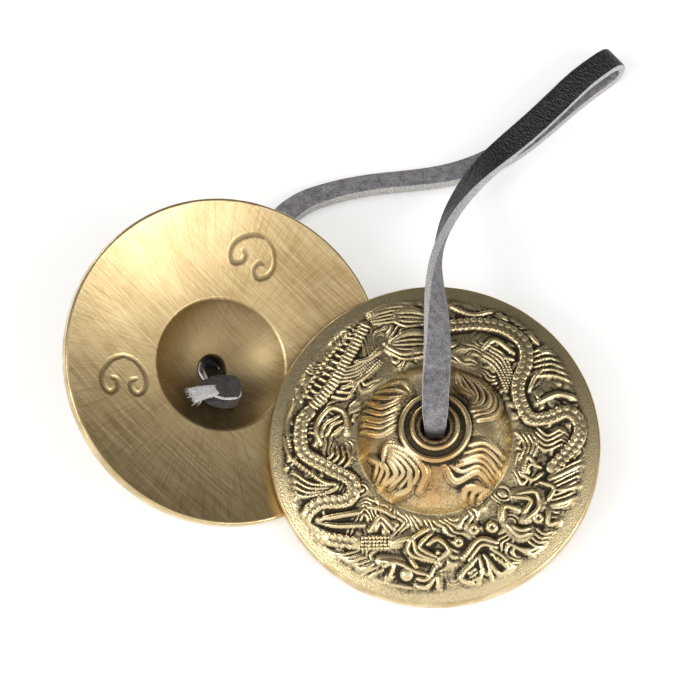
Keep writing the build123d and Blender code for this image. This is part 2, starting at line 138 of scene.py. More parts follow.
# Finer lines between the main ones on the dish
HEAD_LINES = [
    [(-1.5, -18), (-5, -20.5), (-4.5, -23), (0.5, -24.5)],
    [(-1, -19), (-3, -21.5), (0.5, -23.5)],
    [(-1.5, -21), (0.5, -20), (2.5, -22), (0.5, -24)],
    [(-5, -23.5), (-3.5, -25.5)],
    [(-3.5, -27.5), (-1.5, -27.5), (0, -25)],
    [(-3.5, -29), (-1.5, -29), (0, -27)],
    [(0.5, -26.5), (0.5, -29.5)],
    [(-10, -25), (-8, -24.5), (-9, -27.5)],
    [(15, -11.5), (18.5, -12), (17.5, -14.5)],
    [(20.5, -8.5), (23, -9.5), (22, -12)],
    [(13, -16), (13.5, -13.5), (16, -14)],
    [(14.5, -17), (16.5, -18), (18.5, -17.5)],
    [(22, -13.5), (22, -16.5), (24, -16)],
]
FINE_LINES = [
    [(-22, 0.5), (-21.5, 3), (-18.5, 5)],
    [(-21, 1), (-20, 3), (-18, 4)],
    [(-20, 1), (-17.5, 3)],
    [(-27.5, 8.5), (-29, 4), (-28, -1.5)],
    [(-29.5, 1), (-28, -3.5)],
    [(-27.5, -3.5), (-22, -8), (-19, -9), (-21, -10.5), (-27, -11)],
    [(-27.5, -12.5), (-28, -15), (-24, -19.5)],
    [(-11.5, -18), (-10.5, -16.5), (-9, -18.5)],
    [(-13, -13.5), (-10.5, -14), (-8, -15.5)],
    [(-22, -21), (-15, -26.5), (-9, -28.5), (-3.5, -29.5)],
    [(6.5, -24), (9, -21), (12, -21.5)],
    [(8.5, -23), (9, -26), (8, -29)],
    [(10.5, -21.5), (13, -23), (15, -25)],
    [(10, -23.5), (11, -27.5)],
    [(17.5, -7), (18.5, -5), (20.5, -5.5)],
    [(17, -7), (19, -8), (21, -6.5)],
    [(3, 28), (7.5, 26), (12, 27)],
    [(12.5, 26.5), (14.5, 25)],
    [(15, 25.5), (18, 23.5)],
    [(18.5, 22.5), (20.5, 20)],
    [(20.5, 18.5), (23.5, 18.5)],
    [(18.5, 10), (19.5, 12.5), (21.5, 15)],
    [(9.5, 17.5), (12, 16)],
    [(13, 17), (15.5, 16.5)],
    [(-26, 8.5), (-21, 17), (-15, 23.5)],
    [(-11.5, 27.5), (-9, 28.5), (-6.5, 29)],
]
# Fans of strands, each as its first strand, its last strand and the number of strands
STRAND_FANS = [
    ([(-15, -22), (-18, -22.5), (-20.5, -22)], [(-10, -25.5), (-12, -26.5), (-13, -27.5)], 7),
    ([(-15.5, -19.5), (-9, -19.5)], [(-15.5, -21.5), (-9, -21.5)], 4),
    ([(22, -7.5), (25, -5.5), (28.5, -3.5)], [(22.5, -13.5), (25, -13), (27, -12)], 9),
    ([(18, -20), (19.5, -21), (21, -21)], [(19.5, -17.5), (21, -18.5), (23, -18)], 4),
    ([(-8.5, 20.5), (-5, 22.5), (-1.5, 22.5)], [(-9.5, 18.5), (-6, 16.5), (-2, 17)], 7),
    ([(-8, 26.5), (-5, 27.5), (-1.5, 26.5)], [(-8.5, 25), (-5.5, 23.5), (-2, 24)], 5),
    ([(-18.5, 14.5), (-15, 15.5), (-11, 18)], [(-18.5, 12), (-15, 12.5), (-11.5, 15)], 5),
    ([(7.5, -24.5), (6, -26)], [(8.5, -27), (7, -28)], 4),
    ([(11, -22.5), (12, -24)], [(13.5, -24), (14, -25.5)], 4),
    ([(-25, 9.5), (-23.5, 8.5)], [(-17, 21.5), (-15, 20.5)], 11),
    ([(-4, 28.5), (-9, 28.5), (-13, 26.5)], [(-3, 25), (-8, 24.5), (-12.5, 24)], 6),
    ([(9, 17), (12, 14.5), (14, 10)], [(10.5, 19.5), (14, 17), (15.5, 12)], 5),
    ([(19, 18), (22, 19.5), (25, 19)], [(19.5, 13), (23, 13.5), (27, 12.5)], 6),
    ([(15, 25), (18, 26), (20.5, 24.5)], [(17.5, 22.5), (20.5, 22.5), (23, 20.5)], 4),
    ([(20, 2.5), (22, 1), (24.5, 2.5)], [(19, 0), (21.5, -2), (25, -0.5)], 4),
    ([(17, -22), (20, -23), (22.5, -20.5)], [(14, -20.5), (16.5, -21.5), (19, -21.5)], 4),
    ([(16, 1.5), (17.5, -1), (16.5, -4)], [(19, 1.5), (20, -1), (19, -3.5)], 4),
    ([(-20, 9), (-17, 8.5), (-15.5, 11)], [(-17, 12), (-14.5, 12.5), (-13, 15)], 4),
    ([(-27.5, -6), (-24, -8.5), (-19.5, -9)], [(-27.5, -10), (-25, -11), (-22, -10.5)], 4),
    ([(-17, -1.5), (-16.5, -4), (-18, -6)], [(-20, -1.5), (-20, -3), (-21.5, -4.5)], 4),
    ([(-27.5, -14), (-26.5, -17), (-23.5, -19.5)], [(-24, -21), (-21, -23.5), (-17.5, -25.5)], 7),
]
# Round beads: place, radius and whether the bead has a pit in its middle
BALLS = [
    (-5.5, -26.5, 1.5, False),
    (-29, -5, 0.7, False),
    (7.5, -18, 1.2, True),
    (11, -17.5, 1.3, True),
    (4.5, -20.5, 1.1, True),
    (20, -15.5, 1.2, True),
    (0.5, -22.5, 0.6, False),
]

# Engraved cloud curls on the inner face: place, turn in degrees, half of the mirrored curl, and half width
ENGRAVED_PLACES = [(-20, 4, 0), (6, -21.5, 30)]
ENGRAVED_CURL = [(0, -4.5), (2.5, -3.5), (4.5, -1), (4.5, 1.5), (3, 3), (1.5, 2), (1.5, 0.5), (2.5, 0)]
ENGRAVED_HALF_WIDTH = 0.5

# Strokes of the ornament: half widths in millimetres of a soft foot and of the ridge on it, their rises
# as shares of the relief's height, and how far the foot thins out towards its ends
Stroke = namedtuple("Stroke", "foot foot_rise foot_taper ridge ridge_rise")
CLOUD_STROKE = Stroke(foot=1.15, foot_rise=0.35, foot_taper=0.2, ridge=0.72, ridge_rise=0.82)
CLOUD_STRAND = Stroke(foot=0.9, foot_rise=0.35, foot_taper=0.2, ridge=0.55, ridge_rise=0.8)
HEAD_STROKE = Stroke(foot=1.1, foot_rise=0.6, foot_taper=0.1, ridge=0.55, ridge_rise=1.45)
DISH_STROKE = Stroke(foot=1.0, foot_rise=0.45, foot_taper=0.2, ridge=0.62, ridge_rise=1.1)
FINE_STROKE = Stroke(foot=0.85, foot_rise=0.35, foot_taper=0.2, ridge=0.48, ridge_rise=1.0)
FINE_STRAND = Stroke(foot=0.75, foot_rise=0.4, foot_taper=0.2, ridge=0.36, ridge_rise=1.0)

# How far a ridge thins out at its ends, the share of its length that each end takes, and the power of its top
RIDGE_TAPER = 0.35
RIDGE_END = 0.2
ROUND_TOP = 2.0
FLAT_TOP = 4.0

# Dragons and beads: sizes in millimetres, rises as shares of the relief's height,
# and pits as shares of a bead's height
HEAD_HALF_WIDTH = 1.5
HEAD_RISE = 0.75
HEAD_TAPER = 0.1
BODY_HALF_WIDTH = 1.55
BODY_TAPER = 0.1
SCALE_SPACING = 1.3
SCALE_RADIUS = 0.56
SCALE_HEIGHT = 0.28
SCALE_PIT = 0.9
SCALE_SEAT = 0.95
SCALE_ROWS = (-0.5, 0.5)
TAIL_HALF_WIDTH = 1.2
TAIL_RISE = 0.9
TAIL_TAPER = 0.2
RIB_SPACING = 0.85
RIB_FILL = 0.36
RIB_REACH = 0.85
RIB_HEIGHT = 0.24
BEAD_RISE = 1.5
BEAD_PIT = 0.6
PIT_SPREAD = 0.38

# Ground of the dish, in millimetres: whorls of strands that come and go in patches, with stipple
# between them. Each whorl is its size and its swing
WHORLS = [(7, 6), (3, 2)]
WHORL_PITCH = 1.15
WHORL_FULLNESS = 0.7
WHORL_RISE = 0.5
PATCH_SIZE = 4
PATCH_SHIFT = Vector((20, 0, 0))
PATCH_CONTRAST = 3
PATCH_COVER = 0.7
STIPPLE_SIZE = 0.45
STIPPLE_RISE = 0.14
GROUND_INNER = 15.4
GROUND_OUTER = 29.6

# Plain border of the dish: where the ornament has sunk into it, where the rubbed edge starts, and their fades
BORDER = 2.3 * MM
BORDER_FADE = 1.6 * MM
RUBBED_BORDER = 3.2 * MM
RUBBED_FADE = 1.2 * MM

# Patina, from 0 for rubbed bright to 1 for dark. Each recess is a number of blurring passes and the depth
# below the blurred surface that turns dark
OPEN_PATINA = 0.36
RECESSES = [(10, 0.5 * MM), (60, 0.8 * MM)]
PATINA_RUBBED_OFF = 0.1
PLAIN_PATINA = 0.2
HOLLOW_PATINA = (0.55, 0.80)
HOLE_PATINA = 0.95
GROOVE_PATINA = 0.6

# Rings of the casting's mesh along each stretch of its profile, and the angle where the back round starts
BOSS_RINGS = 64
DISH_RINGS = 92
EDGE_RINGS = 5
INNER_RINGS = 90
HOLLOW_RINGS = 26
BACK_ROUND_START = 80

# Route of the free thong from the right hole to the left one, in millimetres, as on the solids:
# x, y, z, then the heading and the dip of the line across the band in degrees
RIGHT_EXIT = (20.1283, 0.298906, 25.163)
LEFT_EXIT = (-22.4391, 21.6184, 0.943194)
RIGHT_BEND = (19.9, -3.4, 25.3, 0, -4)
LEFT_CORNER = (-25.2, 14.1, 0.9)
THONG_ROUTE = [
    (*RIGHT_EXIT, 0, -10),
    (20.4, 4.7, 25.0, 0, -18),
    (20.3, 11.9, 24.2, -8, -34),
    (20.2, 19.0, 22.2, -25, -47),
    (20.3, 27.0, 18.6, -63, -61),
    (21.4, 35.3, 14.0, -125, -64),
    (23.5, 43.7, 10.5, -172, -52),
    (26.9, 51.3, 8.0, 162, -36),
    (31.0, 57.6, 6.8, 144, -14),
    (35.8, 62.8, 6.4, 134, 4),
    (40.6, 67.6, 6.3, 135, 8),
    (45.6, 73.1, 6.2, 136, 8),
    (50.2, 78.2, 6.2, 133, 4),
    (53.7, 81.2, 6.2, 129, 0),
    (56.7, 83.6, 6.2, 129, 0),
    (57.9, 84.6, 4.65, 129, 0),
    (57.9, 84.6, 2.45, 129, 0),
    (56.7, 83.6, 0.95, 129, 0),
    (53.5, 81.0, 0.95, 130, 0),
    (48.2, 76.3, 0.95, 132, 0),
    (42.6, 70.6, 0.95, 134, 0),
    (36.6, 65.2, 0.95, 129, 0),
    (30.0, 60.9, 1.3, 117, -8),
    (22.8, 58.3, 1.65, 105, -16),
    (15.2, 57.1, 1.8, 98, -20),
    (7.6, 56.3, 1.8, 100, -20),
    (0.0, 54.6, 1.7, 109, -18),
    (-7.6, 51.7, 1.5, 124, -12),
    (-13.4, 44.6, 1.1, 150, -3),
    (-18.0, 32.8, 0.95, 158, 0),
    (-22.0, 22.8, 0.95, 158, 0),
    (*LEFT_EXIT, 158, 0),
]

# Finishes of a band's grain side, flesh side and edges
GRAIN, FLESH, EDGE = range(3)
LEATHER_FINISHES = ("grain_leather", "suede", "cut_edge")
# Left neck: its grey flesh side takes the black grain finish as painted shade where it runs into the hollow
LEFT_NECK_SHADE_FINISHES = ("grain_leather", "grain_leather", "cut_edge")
# The knots' turns and folds take the darker knot suede, which is painted shade for the hollows they lie in
TURN_FINISHES = ("shaded_knot_suede", "shaded_knot_suede", "shaded_knot_suede")
FOLD_FINISHES = ("shaded_knot_suede", "shaded_knot_suede", "cut_edge")
TAIL_FINISHES = ("cut_edge", "cut_edge", "cut_edge")
BAND_RESOLUTION = 10
RAGGED_EDGE = 0.08 * MM
RAGGED_PITCH = 900
RAGGED_REACH = 4

# Necks: the right one's rise over its hole and its lean as it turns over, the left one's shift in its hole,
# and shares of the thong's width and thickness
NECK_RISE = 2.0 * MM
NECK_LEAN = Vector((0, 1.9, 1.5)) * MM
NECK_SHIFT = 0.8 * MM
NECK_SQUEEZE = 0.95
RIGHT_NECK_THICKNESS = 0.98
LEFT_NECK_THICKNESS = 0.95

# Knots: a creased core with the pitch and depth of its creases, then the turn round it,
# with its angles in degrees and its width and thickness as shares of the thong's
CORE_RINGS = 28
CORE_SPOKES = 40
CORE_SHARE = 0.49
CORE_SQUARENESS = 0.9
CORE_CREASES = [(2.6, 0.12), (7.0, 0.05)]
TURN_STEPS = 13
TURN_START = -20
TURN_SWEEP = 400
TURN_SLANT = 1.5 * MM
TURN_SHIFT = 0.9 * MM
TURN_REACH = 0.9
TURN_TUCK = 0.7
TURN_WIDTH = 0.8
TURN_THICKNESS = 0.62
TURN_RESOLUTION = 6

# Fold along a knot: shares of half the knot's length and width, and a height in millimetres
FOLD_PLACES = [(0.55, 0.5, 0.3), (0.2, 0.85, 0.1), (-0.5, 0.9, 0), (-0.95, 0.55, 0.1), (-0.8, -0.1, 0.5)]
FOLD_WIDTH = 0.95
FOLD_THICKNESS = 0.5
FOLD_RESOLUTION = 8

# Cut end of a knot: shares of half the knot's length and of the tail's length, millimetres across,
# and share of the lift
TAIL_PLACES = [(0.2, 0, 0.8, 0.7), (0.8, 0, 1.4, 1), (1, 0.8, 2.4, 0.9)]
TAIL_SLANT = 0.3
TAIL_WIDTHS = (0.6, 0.9)
TAIL_THICKNESS = 0.7

# Fibres of a frayed end, in millimetres, and their height as a share of their half thickness
FRAY_SEED = 11
FRAY_COUNT = 110
FRAY_HALF_HEIGHT = 0.5
FRAY_ROOT = 2.0
FRAY_REACH = (0.4, 1.4)
FRAY_STRAY = 0.7
FRAY_THICKNESS = (0.07, 0.16)
FRAY_HEIGHT = 1.5

# Finishes: scale and turn of the brush strokes, scale of the turned streaks, radii over which the copper tint
# of the boss fades out, and shades of the leather's fibres
BRUSH_SCALE = (2200, 90, 0)
BRUSH_TURN = math.radians(-52)
STREAK_SCALE = (60, 60, 90)
COPPER_FADE = (13.5 * MM, 15.5 * MM)
DARK_FIBRES = 0.3
PALE_FIBRES = 2.0
DARK_EDGE_FIBRES = 0.4

# Softboxes: name, place and side in metres, and power in watts
SOFTBOXES = [
    ("key_softbox", (-0.48, -0.30, 0.55), 0.30, 1.25),
    ("side_softbox", (0.55, -0.32, 0.42), 0.32, 1.3),
    ("back_softbox", (-0.50, 0.65, 0.40), 0.30, 1.2),
]
# Room: its tint, and the part of the way from front to back over which its light falls off
ROOM_TINT = (1.0, 0.985, 0.96)
ROOM_FADE = (-0.42, 0.27)
FLOOR_GLOW = 0.42


def length_property(name, description, millimetres):
    """Length setting in metres, given in millimetres."""
    return bpy.props.FloatProperty(
        name=name, description=description, default=millimetres * MM, unit="LENGTH"
    )


def colour_property(name, description, colour):
    """Colour setting."""
    return bpy.props.FloatVectorProperty(
        name=name, description=description, subtype="COLOR", size=3, default=colour, min=0.0, max=1.0
    )


class TingshaCasting(bpy.types.PropertyGroup):
    """Sizes of the brass casting"""

    rim_radius: length_property("Rim radius", "Radius of the rim", 32.5)
    rim_thickness: length_property("Rim thickness", "Thickness at the rim", 2.8)
    rim_front_round: length_property("Front round", "Round at the rim's front edge", 0.5)
    rim_back_round: length_property("Back round", "Round at the rim's back edge", 0.6)
    dish_swell: length_property("Dish swell", "Bulge of the dish towards the boss", 0.4)
    boss_radius: length_property("Boss radius", "Radius of the boss at its base", 15.2)
    boss_base_height: length_property("Boss base", "Height of the boss's base", 5.8)
    boss_height: length_property("Boss height", "Height of the boss's crown", 15.6)
    hollow_radius: length_property("Hollow radius", "Radius of the hollow's mouth", 13.3)
    hollow_edge_height: length_property("Hollow edge", "Height of the hollow's mouth", 3.65)
    hollow_height: length_property("Hollow height", "Height of the hollow's crown", 10.55)
    hole_radius: length_property("Hole radius", "Radius of the thong's hole", 2.9)
    hole_mouth_radius: length_property("Hole mouth", "Radius of the hole's outer mouth", 3.2)
    outer_ring_radius: length_property("Outer ring", "Radius of the outer ring", 6.5)
    outer_ring_bead: length_property("Outer bead", "Half width of the outer ring", 0.55)
    inner_ring_radius: length_property("Inner ring", "Radius of the inner ring", 4.4)
    inner_ring_bead: length_property("Inner bead", "Half width of the inner ring", 0.45)
    relief_height: length_property("Relief", "Height of the main lines of the ornament", 0.6)
    engraving_depth: length_property("Engraving", "Depth of the engraved curls", 0.16)
    spokes: bpy.props.IntProperty(
        name="Spokes", description="Points round each ring of the casting's mesh", default=720, min=60
    )


class TingshaThong(bpy.types.PropertyGroup):
    """Sizes of the leather thong and its knots"""

    width: length_property("Width", "Width of the thong", 5.2)
    thickness: length_property("Thickness", "Thickness of the thong", 1.8)
    edge_round: length_property("Edge round", "Round of the thong's cut edges", 0.35)
    neck_width: length_property("Neck width", "Width of the thong where it is pulled into a knot", 3.6)
    knot_length: length_property("Knot length", "Length of a knot", 8.4)
    knot_width: length_property("Knot width", "Width of a knot", 6.2)
    knot_thickness: length_property("Knot thickness", "Thickness of a knot", 4.4)
    tail_length: length_property("Tail length", "Length of a cut end beyond its knot", 2.6)
    tail_lift: length_property("Tail lift", "Lift of a cut end off the hollow's wall", 1.8)
    lap: length_property("Lap", "Length by which a neck runs on inside the free thong", 0.5)


class TingshaFinish(bpy.types.PropertyGroup):
    """Colours of the finishes"""

    satin_brass: colour_property("Satin brass", "Brushed inner face", (0.68, 0.51, 0.26))
    dull_brass: colour_property("Dull brass", "Dull patches of the inner face", (0.40, 0.27, 0.115))
    brush_strokes: colour_property("Brush strokes", "Strokes on the inner face", (0.84, 0.70, 0.43))
    streaks: colour_property("Streaks", "Turned streaks on the inner face", (0.34, 0.23, 0.10))
    pits: colour_property("Pits", "Small pits in the inner face", (0.22, 0.15, 0.07))
    hollow: colour_property("Hollow", "Browned hollow and grooves", (0.10, 0.072, 0.034))
    bright_brass: colour_property("Bright brass", "Rubbed high spots", (0.82, 0.67, 0.39))
    rim_smears: colour_property("Rim smears", "Dull smears on the rim", (0.40, 0.27, 0.11))
    patina: colour_property("Patina", "Dark recesses", (0.050, 0.041, 0.027))
    copper_tint: colour_property("Copper tint", "Warm patches", (0.66, 0.41, 0.17))
    grain_leather: colour_property("Grain side", "Black grain side", (0.016, 0.012, 0.013))
    scuffs: colour_property("Scuffs", "Scuffs on the grain side", (0.045, 0.033, 0.034))
    suede: colour_property("Flesh side", "Grey suede side", (0.255, 0.242, 0.262))
    # Knot suede: the thong's own grey suede darkened as painted shade for the knots inside the hollows
    shaded_knot_suede: colour_property("Knot", "Darker suede of the knots", (0.050, 0.043, 0.040))
    cut_edge: colour_property("Cut edge", "Pale cut edges", (0.88, 0.87, 0.87))


class TingshaStage(bpy.types.PropertyGroup):
    """Camera, floor and light"""

    camera_distance: length_property("Distance", "Camera to the middle of the view", 900)
    camera_elevation: bpy.props.FloatProperty(
        name="Elevation", description="Camera above the horizon", default=math.radians(61.03), unit="ROTATION"
    )
    aim_side: length_property("Aim sideways", "Middle of the view along X", 3.41)
    aim_rise: length_property("Aim up", "Middle of the view up the picture from the origin", 16.43)
    lens: bpy.props.FloatProperty(name="Lens", description="Focal length", default=233.7, unit="CAMERA")
    floor_size: length_property("Floor", "Side of the floor", 4000)
    floor_colour: colour_property("Floor colour", "Pale floor", (0.86, 0.86, 0.86))
    near_light: bpy.props.FloatProperty(
        name="Near light", description="Brightness of the room on the camera's side", default=0.98, min=0.0
    )
    far_light: bpy.props.FloatProperty(
        name="Far light", description="Brightness of the room on the far side", default=0.16, min=0.0
    )


# Node trees of the finishes

def new_material(name):
    """Material with a bare node tree and its shader."""
    material = bpy.data.materials.new(name)
    material.use_nodes = True
    tree = material.node_tree
    tree.nodes.clear()
    output = tree.nodes.new("ShaderNodeOutputMaterial")
    shader = tree.nodes.new("ShaderNodeBsdfPrincipled")
    tree.links.new(shader.outputs["BSDF"], output.inputs["Surface"])
    return material, tree, shader


def feed(tree, socket, value):
    """Set a socket to a value, or link it from another socket."""
    if isinstance(value, bpy.types.NodeSocket):
        tree.links.new(value, socket)
    elif isinstance(value, (int, float)):
        socket.default_value = value
    else:
        size = len(socket.default_value)
        socket.default_value = (*value, 1.0)[:size]


def add_node(tree, kind, inputs=None, **settings):
    """Node with its settings and its inputs."""
    node = tree.nodes.new(kind)
    for key, value in settings.items():
        setattr(node, key, value)
    for key, value in (inputs or {}).items():
        feed(tree, node.inputs[key], value)
    return node


def cloudy(tree, vector, scale, detail=3.0, roughness=0.55):
    """Soft noise over a vector."""
    inputs = {"Vector": vector, "Scale": scale, "Detail": detail, "Roughness": roughness}
    return add_node(tree, "ShaderNodeTexNoise", inputs).outputs["Fac"]


def remap(tree, value, low, high, new_low, new_high):
    """Value moved from one range to another, held at the ends."""
    inputs = {"Value": value, "From Min": low, "From Max": high, "To Min": new_low, "To Max": new_high}
    return add_node(tree, "ShaderNodeMapRange", inputs).outputs["Result"]


def mix_colour(tree, factor, first, second):
    """Two colours mixed by a factor."""
    inputs = {0: factor, 6: first, 7: second}
    return add_node(tree, "ShaderNodeMix", inputs, data_type="RGBA").outputs[2]


def calculate(tree, operation, first, second):
    """Sum, product or other mathematics on two values."""
    return add_node(tree, "ShaderNodeMath", {0: first, 1: second}, operation=operation).outputs[0]


def add_bump(tree, shader, height, distance, strength):
    """Bump from a height, joined to a shader."""
    node = add_node(tree, "ShaderNodeBump", {"Height": height, "Distance": distance, "Strength": strength})
    tree.links.new(node.outputs["Normal"], shader.inputs["Normal"])


def object_point(tree):
    """Place on the object, in metres."""
    return add_node(tree, "ShaderNodeTexCoord").outputs["Object"]


def attribute(tree, name, output):
    """Value that the mesh carries at its points."""
    return add_node(tree, "ShaderNodeAttribute", attribute_name=name).outputs[output]


def stretched(tree, vector, scale, turn=0.0):
    """Vector turned about its third axis, then scaled along its three axes."""
    inputs = {"Vector": vector, "Rotation": (0.0, 0.0, turn)}
    turned = add_node(tree, "ShaderNodeMapping", inputs).outputs["Vector"]
    return add_node(tree, "ShaderNodeMapping", {"Vector": turned, "Scale": scale}).outputs["Vector"]


def satin_brass(finish):
    """Inner face: fine brush strokes, warm dull patches, and a browner hollow."""
    material, tree, shader = new_material("satin_brass")
    point = object_point(tree)
    turning = attribute(tree, "turning", "Vector")
    patina = attribute(tree, "patina", "Fac")
    streaks = cloudy(tree, stretched(tree, turning, STREAK_SCALE), 1.0, 4.0, 0.7)
    strokes = cloudy(tree, stretched(tree, point, BRUSH_SCALE, BRUSH_TURN), 1.0, 4.0, 0.7)
    patches = cloudy(tree, point, 60.0, 5.0, 0.65)
    pits = cloudy(tree, point, 2100.0, 2.0, 0.6)
    warm = mix_colour(tree, remap(tree, patches, 0.38, 0.66, 0.0, 0.9), finish.satin_brass, finish.dull_brass)
    brushed = mix_colour(tree, remap(tree, strokes, 0.42, 0.68, 0.0, 0.6), warm, finish.brush_strokes)
    streaked = mix_colour(tree, remap(tree, streaks, 0.50, 0.68, 0.0, 0.5), brushed, finish.streaks)
    spotted = mix_colour(tree, remap(tree, pits, 0.62, 0.78, 0.0, 0.45), streaked, finish.pits)
    worn = mix_colour(tree, remap(tree, patina, 0.3, 1.0, 0.0, 0.92), spotted, finish.hollow)
    tree.links.new(worn, shader.inputs["Base Color"])
    rough = calculate(tree, "ADD", remap(tree, strokes, 0.3, 0.7, 0.27, 0.40),
                      remap(tree, patina, 0.3, 0.7, 0.0, 0.14))
    tree.links.new(rough, shader.inputs["Roughness"])
    shader.inputs["Metallic"].default_value = 1.0
    add_bump(tree, shader, calculate(tree, "ADD", strokes, streaks), 0.04 * MM, 0.6)
    return material


def antique_brass(finish):
    """Cast face: rubbed bright on the high spots, dark patina in the recesses, with warm patches."""
    material, tree, shader = new_material("antique_brass")
    point = object_point(tree)
    patina = attribute(tree, "patina", "Fac")
    grain = cloudy(tree, point, 2400.0, 3.0, 0.65)
    blotches = cloudy(tree, point, 150.0, 4.0, 0.6)
    uneven = calculate(tree, "ADD", patina, remap(tree, blotches, 0.3, 0.7, -0.12, 0.12))
    speckled = calculate(tree, "ADD", uneven, remap(tree, grain, 0.3, 0.7, -0.14, 0.14))
    turning = add_node(tree, "ShaderNodeSeparateXYZ", {"Vector": attribute(tree, "turning", "Vector")})
    on_boss = remap(tree, turning.outputs["Z"], *COPPER_FADE, 1.0, 0.0)
    copper = remap(tree, cloudy(tree, point, 90.0, 2.0, 0.5), 0.38, 0.62, 0.15, 1.0)
    boss_copper = calculate(tree, "MULTIPLY", copper, on_boss)
    warm = mix_colour(tree, boss_copper, finish.bright_brass, finish.copper_tint)
    coloured = mix_colour(tree, remap(tree, speckled, 0.28, 0.66, 0.0, 1.0), warm, finish.patina)
    tree.links.new(coloured, shader.inputs["Base Color"])
    tree.links.new(remap(tree, speckled, 0.25, 0.75, 0.20, 0.55), shader.inputs["Roughness"])
    shader.inputs["Metallic"].default_value = 1.0
    add_bump(tree, shader, grain, 0.1 * MM, 0.6)
    return material


def polished_brass(finish):
    """Turned rim edge."""
    material, tree, shader = new_material("polished_brass")
    point = object_point(tree)
    smears = cloudy(tree, point, 210.0, 4.0, 0.6)
    nicks = cloudy(tree, point, 1500.0, 2.0, 0.6)
    smeared = remap(tree, smears, 0.35, 0.7, 0.0, 0.8)
    colour = mix_colour(tree, smeared, finish.bright_brass, finish.rim_smears)
    tree.links.new(colour, shader.inputs["Base Color"])
    tree.links.new(remap(tree, smears, 0.3, 0.7, 0.22, 0.38), shader.inputs["Roughness"])
    shader.inputs["Metallic"].default_value = 1.0
    add_bump(tree, shader, nicks, 0.04 * MM, 0.4)
    return material


def grain_leather(finish):
    """Black grain side: small pebbles and creases under a soft gloss."""
    material, tree, shader = new_material("grain_leather")
    point = object_point(tree)
    pebbles = add_node(tree, "ShaderNodeTexVoronoi", {"Vector": point, "Scale": 1900.0}).outputs["Distance"]
    creases = cloudy(tree, point, 700.0, 4.0, 0.6)
    scuffs = cloudy(tree, point, 260.0, 4.0, 0.65)
    scuffed = remap(tree, scuffs, 0.45, 0.75, 0.0, 0.6)
    colour = mix_colour(tree, scuffed, finish.grain_leather, finish.scuffs)
    tree.links.new(colour, shader.inputs["Base Color"])
    tree.links.new(remap(tree, scuffs, 0.3, 0.7, 0.26, 0.48), shader.inputs["Roughness"])
    add_bump(tree, shader, calculate(tree, "ADD", pebbles, creases), 0.4 * MM, 0.9)
    return material


def fibrous_suede(name, colour):
    """Suede of short loose fibres with pale and dark flecks."""
    material, tree, shader = new_material(name)
    point = object_point(tree)
    fibres = cloudy(tree, point, 2600.0, 4.0, 0.75)
    clumps = cloudy(tree, point, 620.0, 3.0, 0.6)
    shade = calculate(tree, "ADD", remap(tree, fibres, 0.35, 0.65, 0.0, 0.6),
                      remap(tree, clumps, 0.35, 0.65, 0.0, 0.4))
    dark = [channel * DARK_FIBRES for channel in colour]
    pale = [channel * PALE_FIBRES for channel in colour]
    tree.links.new(mix_colour(tree, shade, dark, pale), shader.inputs["Base Color"])
    shader.inputs["Roughness"].default_value = 0.95
    shader.inputs["Sheen Weight"].default_value = 0.15
    add_bump(tree, shader, fibres, 0.3 * MM, 0.9)
    return material


def suede(finish):
    """Grey flesh side of the thong."""
    return fibrous_suede("suede", finish.suede)


def shaded_knot_suede(finish):
    """Darker suede of the knots: painted shade for the knots that lie inside the hollows."""
    return fibrous_suede("shaded_knot_suede", finish.shaded_knot_suede)


def cut_edge(finish):
    """Pale raw edges of the leather."""
    material, tree, shader = new_material("cut_edge")
    fibres = cloudy(tree, object_point(tree), 2600.0, 4.0, 0.7)
    dark = [channel * DARK_EDGE_FIBRES for channel in finish.cut_edge]
    colour = mix_colour(tree, remap(tree, fibres, 0.3, 0.7, 0.0, 1.0), dark, finish.cut_edge)
    tree.links.new(colour, shader.inputs["Base Color"])
    shader.inputs["Roughness"].default_value = 0.9
    add_bump(tree, shader, fibres, 0.2 * MM, 0.7)
    return material


def pale_floor(stage):
    """Pale floor that looks white to the camera and in the brass, and still takes a shadow."""
    material, tree, shader = new_material("pale_floor")
    shader.inputs["Base Color"].default_value = (*stage.floor_colour, 1.0)
    shader.inputs["Roughness"].default_value = 0.9
    path = add_node(tree, "ShaderNodeLightPath")
    seen = calculate(tree, "MAXIMUM", path.outputs["Is Camera Ray"], path.outputs["Is Glossy Ray"])
    seen = calculate(tree, "MAXIMUM", seen, path.outputs["Is Transmission Ray"])
    shader.inputs["Emission Color"].default_value = (1.0, 1.0, 1.0, 1.0)
    tree.links.new(calculate(tree, "MULTIPLY", seen, FLOOR_GLOW), shader.inputs["Emission Strength"])
    return material


def materials_named(names):
    """Materials by name."""
    return [bpy.data.materials[name] for name in names]


def place_object(name, mesh, materials):
    """Object of a mesh in the scene with its materials."""
    for material in materials:
        mesh.materials.append(material)
    placed = bpy.data.objects.new(name, mesh)
    bpy.context.scene.collection.objects.link(placed)
    return placed


# Casting

def cymbal_matrix(side):
    """Frame of a cymbal: its rim centre, with z towards the boss and x as near to +X as that allows."""
    joint = joints[side + "_spin"]
    boss_side = 1 if side == "right" else -1
    z_axis = Vector(joint["axis"]).normalized() * boss_side
    x_axis = (Vector((1, 0, 0)) - z_axis * z_axis.x).normalized()
    turn = Matrix((x_axis, z_axis.cross(x_axis), z_axis)).transposed().to_4x4()
    return Matrix.Translation(Vector(joint["pos_m"])) @ turn


def ball_radius(base_radius, rise):
    """Radius of the sphere whose cap has this base radius and rise."""
    return (base_radius**2 + rise**2) / (2 * rise)


def cap_height(radius, base_radius, base_height, crown):
    """Height of a spherical cap at a radius."""
    ball = ball_radius(base_radius, crown - base_height)
    return crown - ball + np.sqrt(ball**2 - radius**2)


def hollow_depth(casting, radius):
    """Height of the hollow's surface at a radius."""
    return cap_height(radius, casting.hollow_radius, casting.hollow_edge_height, casting.hollow_height)


def crown_height(casting, radius):
    """Height of the boss's surface at a radius."""
    return cap_height(radius, casting.boss_radius, casting.boss_base_height, casting.boss_height)


